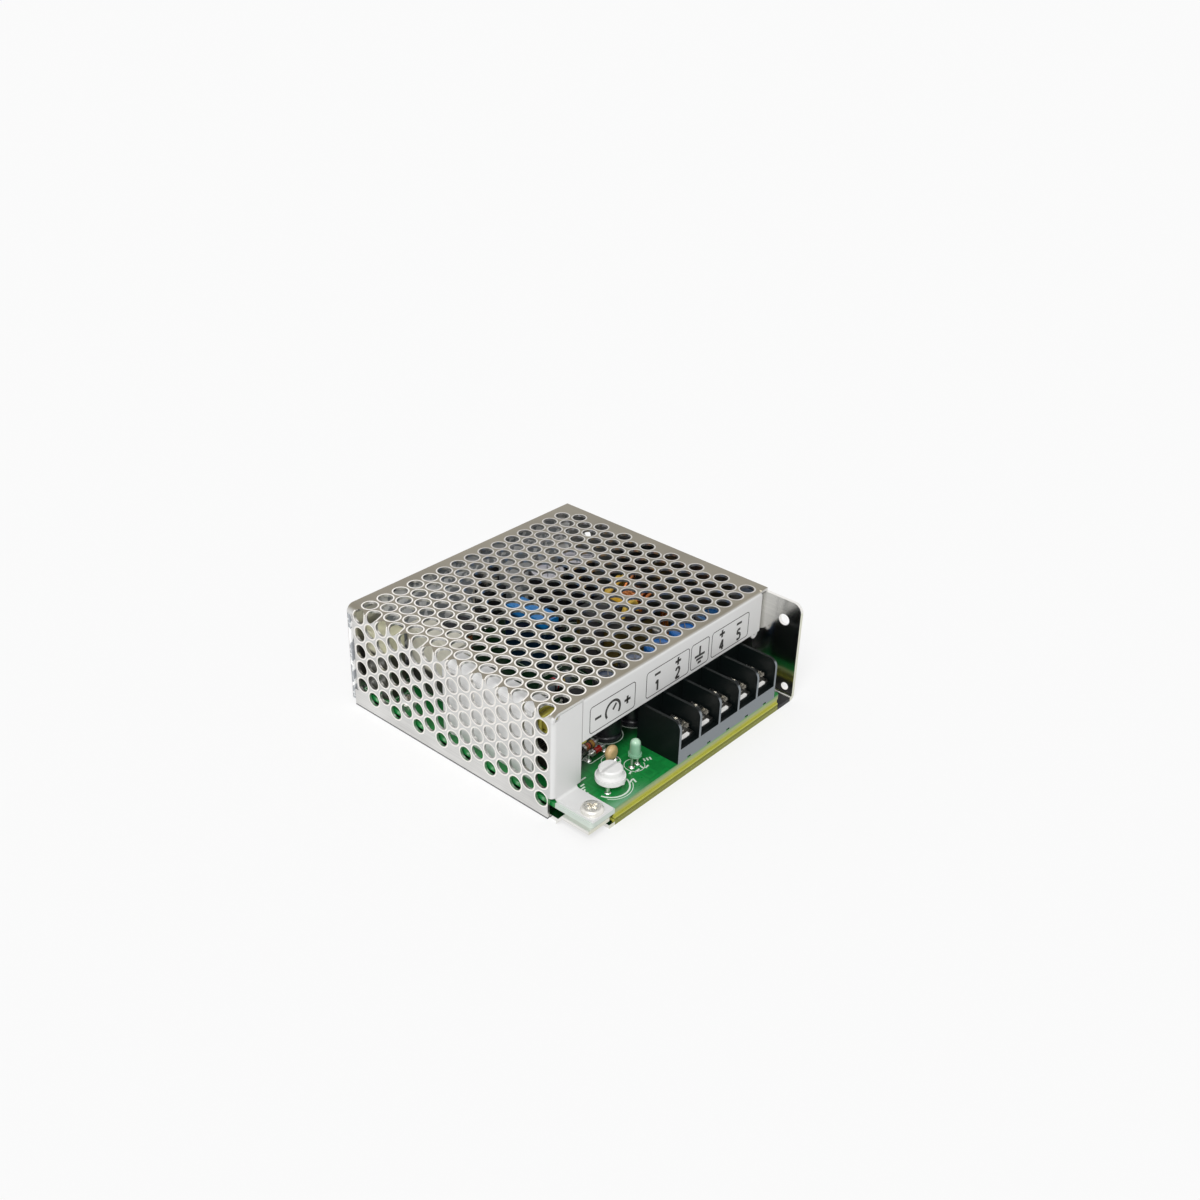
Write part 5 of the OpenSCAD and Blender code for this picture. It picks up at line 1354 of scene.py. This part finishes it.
class SmallParts(bpy.types.Operator):
    """Finish the fuse, the diode and the resistors"""

    bl_idname = "converter.small_parts"
    bl_label = "Small parts"

    # Colour rings: place from the body's middle as a share of half the length, and colour
    DIODE_RINGS = [(-0.3, (0.02, 0.02, 0.02))]
    RESISTOR_RINGS = [(-0.28, (0.02, 0.02, 0.02)), (-0.1, (0.5, 0.02, 0.02)), (0.08, (0.02, 0.02, 0.02)),
                      (0.28, (0.5, 0.33, 0.06))]
    RING_HALF = 0.05
    # Length of an axial part's leads outside its body, length of the fuse's caps, and its glass's clearness
    LEAD = 2.35 * MM
    FUSE_CAP = 4.5 * MM
    CLEAR = 0.8

    def execute(self, context):
        parts = context.scene.converter_parts
        nickel_finish("fuse_clips", parts.nickel, 0.26).on("fuse_clips")
        self.fuse(parts.glass)
        self.axial("glass_diode", (0.32, 0.012, 0.010), 0.15, self.DIODE_RINGS)
        self.axial("small_resistor", (0.36, 0.13, 0.035), 0.35, self.RESISTOR_RINGS)
        self.axial("power_resistor", (0.15, 0.18, 0.21), 0.6, self.RESISTOR_RINGS)
        return {"FINISHED"}

    def fuse(self, base):
        """A clear tube between two plated caps."""
        box = span("fuse")
        finish = Finish("fuse_glass", base, 0.1, spread=0.02, grain=300)
        caps = finish.beyond(1, box.middle[1], box.half[1] - self.FUSE_CAP)
        finish.leads(caps)
        clear = finish.math("SUBTRACT", self.CLEAR, finish.math("MULTIPLY", caps, self.CLEAR))
        finish.set(Transmission_Weight=clear, IOR=1.48)
        finish.on("fuse")

    def axial(self, node, base, rough, bands):
        """A lacquered body with colour rings along X, on tinned leads."""
        box = span(node)
        half = box.half[0]
        finish = Finish(node, base, rough, spread=0.08, grain=800)
        for place, tone in bands:
            ring = finish.within(finish.along(0), box.middle[0] + place * half, self.RING_HALF * half)
            finish.cover(ring, tone)
        finish.leads(finish.beyond(0, box.middle[0], half - self.LEAD))
        finish.set(Coat_Weight=0.4, Coat_Roughness=0.1)
        finish.on(node)


class Screws(bpy.types.Operator):
    """Finish the case's and the board's screws"""

    bl_idname = "converter.screws"
    bl_label = "Screws"

    def execute(self, context):
        nickel = context.scene.converter_parts.nickel
        nickel_finish("case_screw", nickel, 0.3).on("cover_screw", "flush_screws")
        nickel_finish("board_screw", nickel, 0.28).on("board_screws", "rectifier_screw", "switch_screw")
        return {"FINISHED"}


def seen_rays(tree):
    """1 for rays from the camera, from reflections and through glass."""
    path = shader_node(tree, "LightPath", {})
    seen = path.outputs["Is Camera Ray"]
    for ray in ("Is Glossy Ray", "Is Transmission Ray"):
        seen = shader_node(tree, "Math", {0: seen, 1: path.outputs[ray]}, operation="MAXIMUM").outputs[0]
    return seen


class Stage(bpy.types.Operator):
    """Build the white stage: floor, room light, soft main light and camera"""

    bl_idname = "converter.stage"
    bl_label = "Stage"

    # Half the floor's width in metres, its distance below the object and the strength of its white
    FLOOR_HALF = 4.0
    FLOOR_DROP = 0.05 * MM
    FLOOR_WHITE = 0.96
    # Direction that the main light comes from, and its width as an angle
    SUN_FROM = (-0.55, -0.36, 0.76)
    SUN_ANGLE = 0.6
    # Camera fitted to the photo: azimuth, elevation and roll in degrees, aim, sensor and nearest distance
    CAMERA_TURN = (-49.351, 29.851, 1.8)
    CAMERA_AIM = np.array([29.502, 16.548, 17.5]) * MM
    SENSOR = 36
    NEAR = 10 * MM

    def execute(self, context):
        stage = context.scene.converter_stage
        context.scene.view_settings.view_transform = "Standard"
        self.floor(stage)
        self.room(stage)
        self.main_light(stage)
        self.camera(stage)
        return {"FINISHED"}

    def floor(self, stage):
        """A wide matt floor just under the object, partly plain white to the rays that see it."""
        half = self.FLOOR_HALF
        mesh = bpy.data.meshes.new("floor")
        corners = [(-half, -half), (half, -half), (half, half), (-half, half)]
        mesh.from_pydata([(x, y, -self.FLOOR_DROP) for x, y in corners], [], [(0, 1, 2, 3)])
        material = bpy.data.materials.new("floor")
        material.use_nodes = True
        tree = material.node_tree
        tree.nodes.remove(tree.nodes["Principled BSDF"])
        matt = shader_node(tree, "BsdfDiffuse", {"Color": stage.floor})
        white = shader_node(tree, "Emission", {"Strength": self.FLOOR_WHITE})
        part = shader_node(tree, "Math", {0: seen_rays(tree), 1: stage.white}, operation="MULTIPLY")
        mix = shader_node(tree, "MixShader", {0: part.outputs[0], 1: matt.outputs[0], 2: white.outputs[0]})
        feed(tree, tree.nodes["Material Output"].inputs["Surface"], mix.outputs[0])
        mesh.materials.append(material)
        made = bpy.data.objects.new("floor", mesh)
        bpy.context.scene.collection.objects.link(made)

    def room(self, stage):
        """White to the camera, to reflections and through glass, and a softer level as light."""
        world = bpy.data.worlds.new("room")
        bpy.context.scene.world = world
        world.use_nodes = True
        tree = world.node_tree
        back = tree.nodes["Background"]
        levels = {"Value": seen_rays(tree), "To Min": stage.ambient, "To Max": 1.0}
        feed(tree, back.inputs["Color"], (1, 1, 1))
        feed(tree, back.inputs["Strength"], shader_node(tree, "MapRange", levels).outputs[0])

    def main_light(self, stage):
        """A wide soft sun from the upper left front."""
        sun = bpy.data.lights.new("main_light", "SUN")
        sun.energy = stage.sun
        sun.angle = self.SUN_ANGLE
        made = bpy.data.objects.new("main_light", sun)
        made.rotation_euler = Vector(self.SUN_FROM).to_track_quat("Z", "Y").to_euler()
        bpy.context.scene.collection.objects.link(made)

    def camera(self, stage):
        """The camera fitted to the photo, from its azimuth, elevation, roll and aim."""
        azimuth, elevation, roll = np.radians(self.CAMERA_TURN)
        outward = np.sin(azimuth) * X - np.cos(azimuth) * Y
        back = np.cos(elevation) * outward + np.sin(elevation) * Z
        right = np.cos(azimuth) * X + np.sin(azimuth) * Y
        up = np.cross(back, right)
        side = np.cos(roll) * right + np.sin(roll) * up
        rise = np.cos(roll) * up - np.sin(roll) * right
        turn = Matrix(np.column_stack([side, rise, back]).tolist()).to_4x4()
        lens = bpy.data.cameras.new("camera")
        lens.lens = stage.lens
        lens.sensor_width = self.SENSOR
        lens.clip_start = self.NEAR
        made = bpy.data.objects.new("camera", lens)
        made.matrix_world = Matrix.Translation(self.CAMERA_AIM + back * stage.distance) @ turn
        bpy.context.scene.collection.objects.link(made)
        bpy.context.scene.camera = made


STEPS = [
    SheetMetal, LabelPrint, Board, Terminals, Controls, WoundParts,
    Capacitors, PowerParts, SmallParts, Screws, Stage,
]
SETTINGS = {
    "converter_sheet": SheetSettings,
    "converter_board": BoardSettings,
    "converter_parts": PartSettings,
    "converter_stage": StageSettings,
}


class ConverterPanel(bpy.types.Panel):
    """The converter's steps and settings"""

    bl_idname = "VIEW3D_PT_converter"
    bl_label = "Converter"
    bl_space_type = "VIEW_3D"
    bl_region_type = "UI"
    bl_category = "Converter"

    def draw(self, context):
        for step in STEPS:
            self.layout.operator(step.bl_idname)
        for key, kind in SETTINGS.items():
            for name in kind.__annotations__:
                self.layout.prop(getattr(context.scene, key), name)


def register():
    for kind in [*SETTINGS.values(), *STEPS, ConverterPanel]:
        bpy.utils.register_class(kind)
    for key, kind in SETTINGS.items():
        setattr(bpy.types.Scene, key, PointerProperty(type=kind))


def unregister():
    for key in SETTINGS:
        delattr(bpy.types.Scene, key)
    for kind in [ConverterPanel, *reversed(STEPS), *reversed(SETTINGS.values())]:
        bpy.utils.unregister_class(kind)


def main():
    """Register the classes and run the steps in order."""
    register()
    bpy.ops.converter.sheet_metal()
    bpy.ops.converter.label_print()
    bpy.ops.converter.board()
    bpy.ops.converter.terminals()
    bpy.ops.converter.controls()
    bpy.ops.converter.wound_parts()
    bpy.ops.converter.capacitors()
    bpy.ops.converter.power_parts()
    bpy.ops.converter.small_parts()
    bpy.ops.converter.screws()
    bpy.ops.converter.stage()


if __name__ == "__main__":
    main()
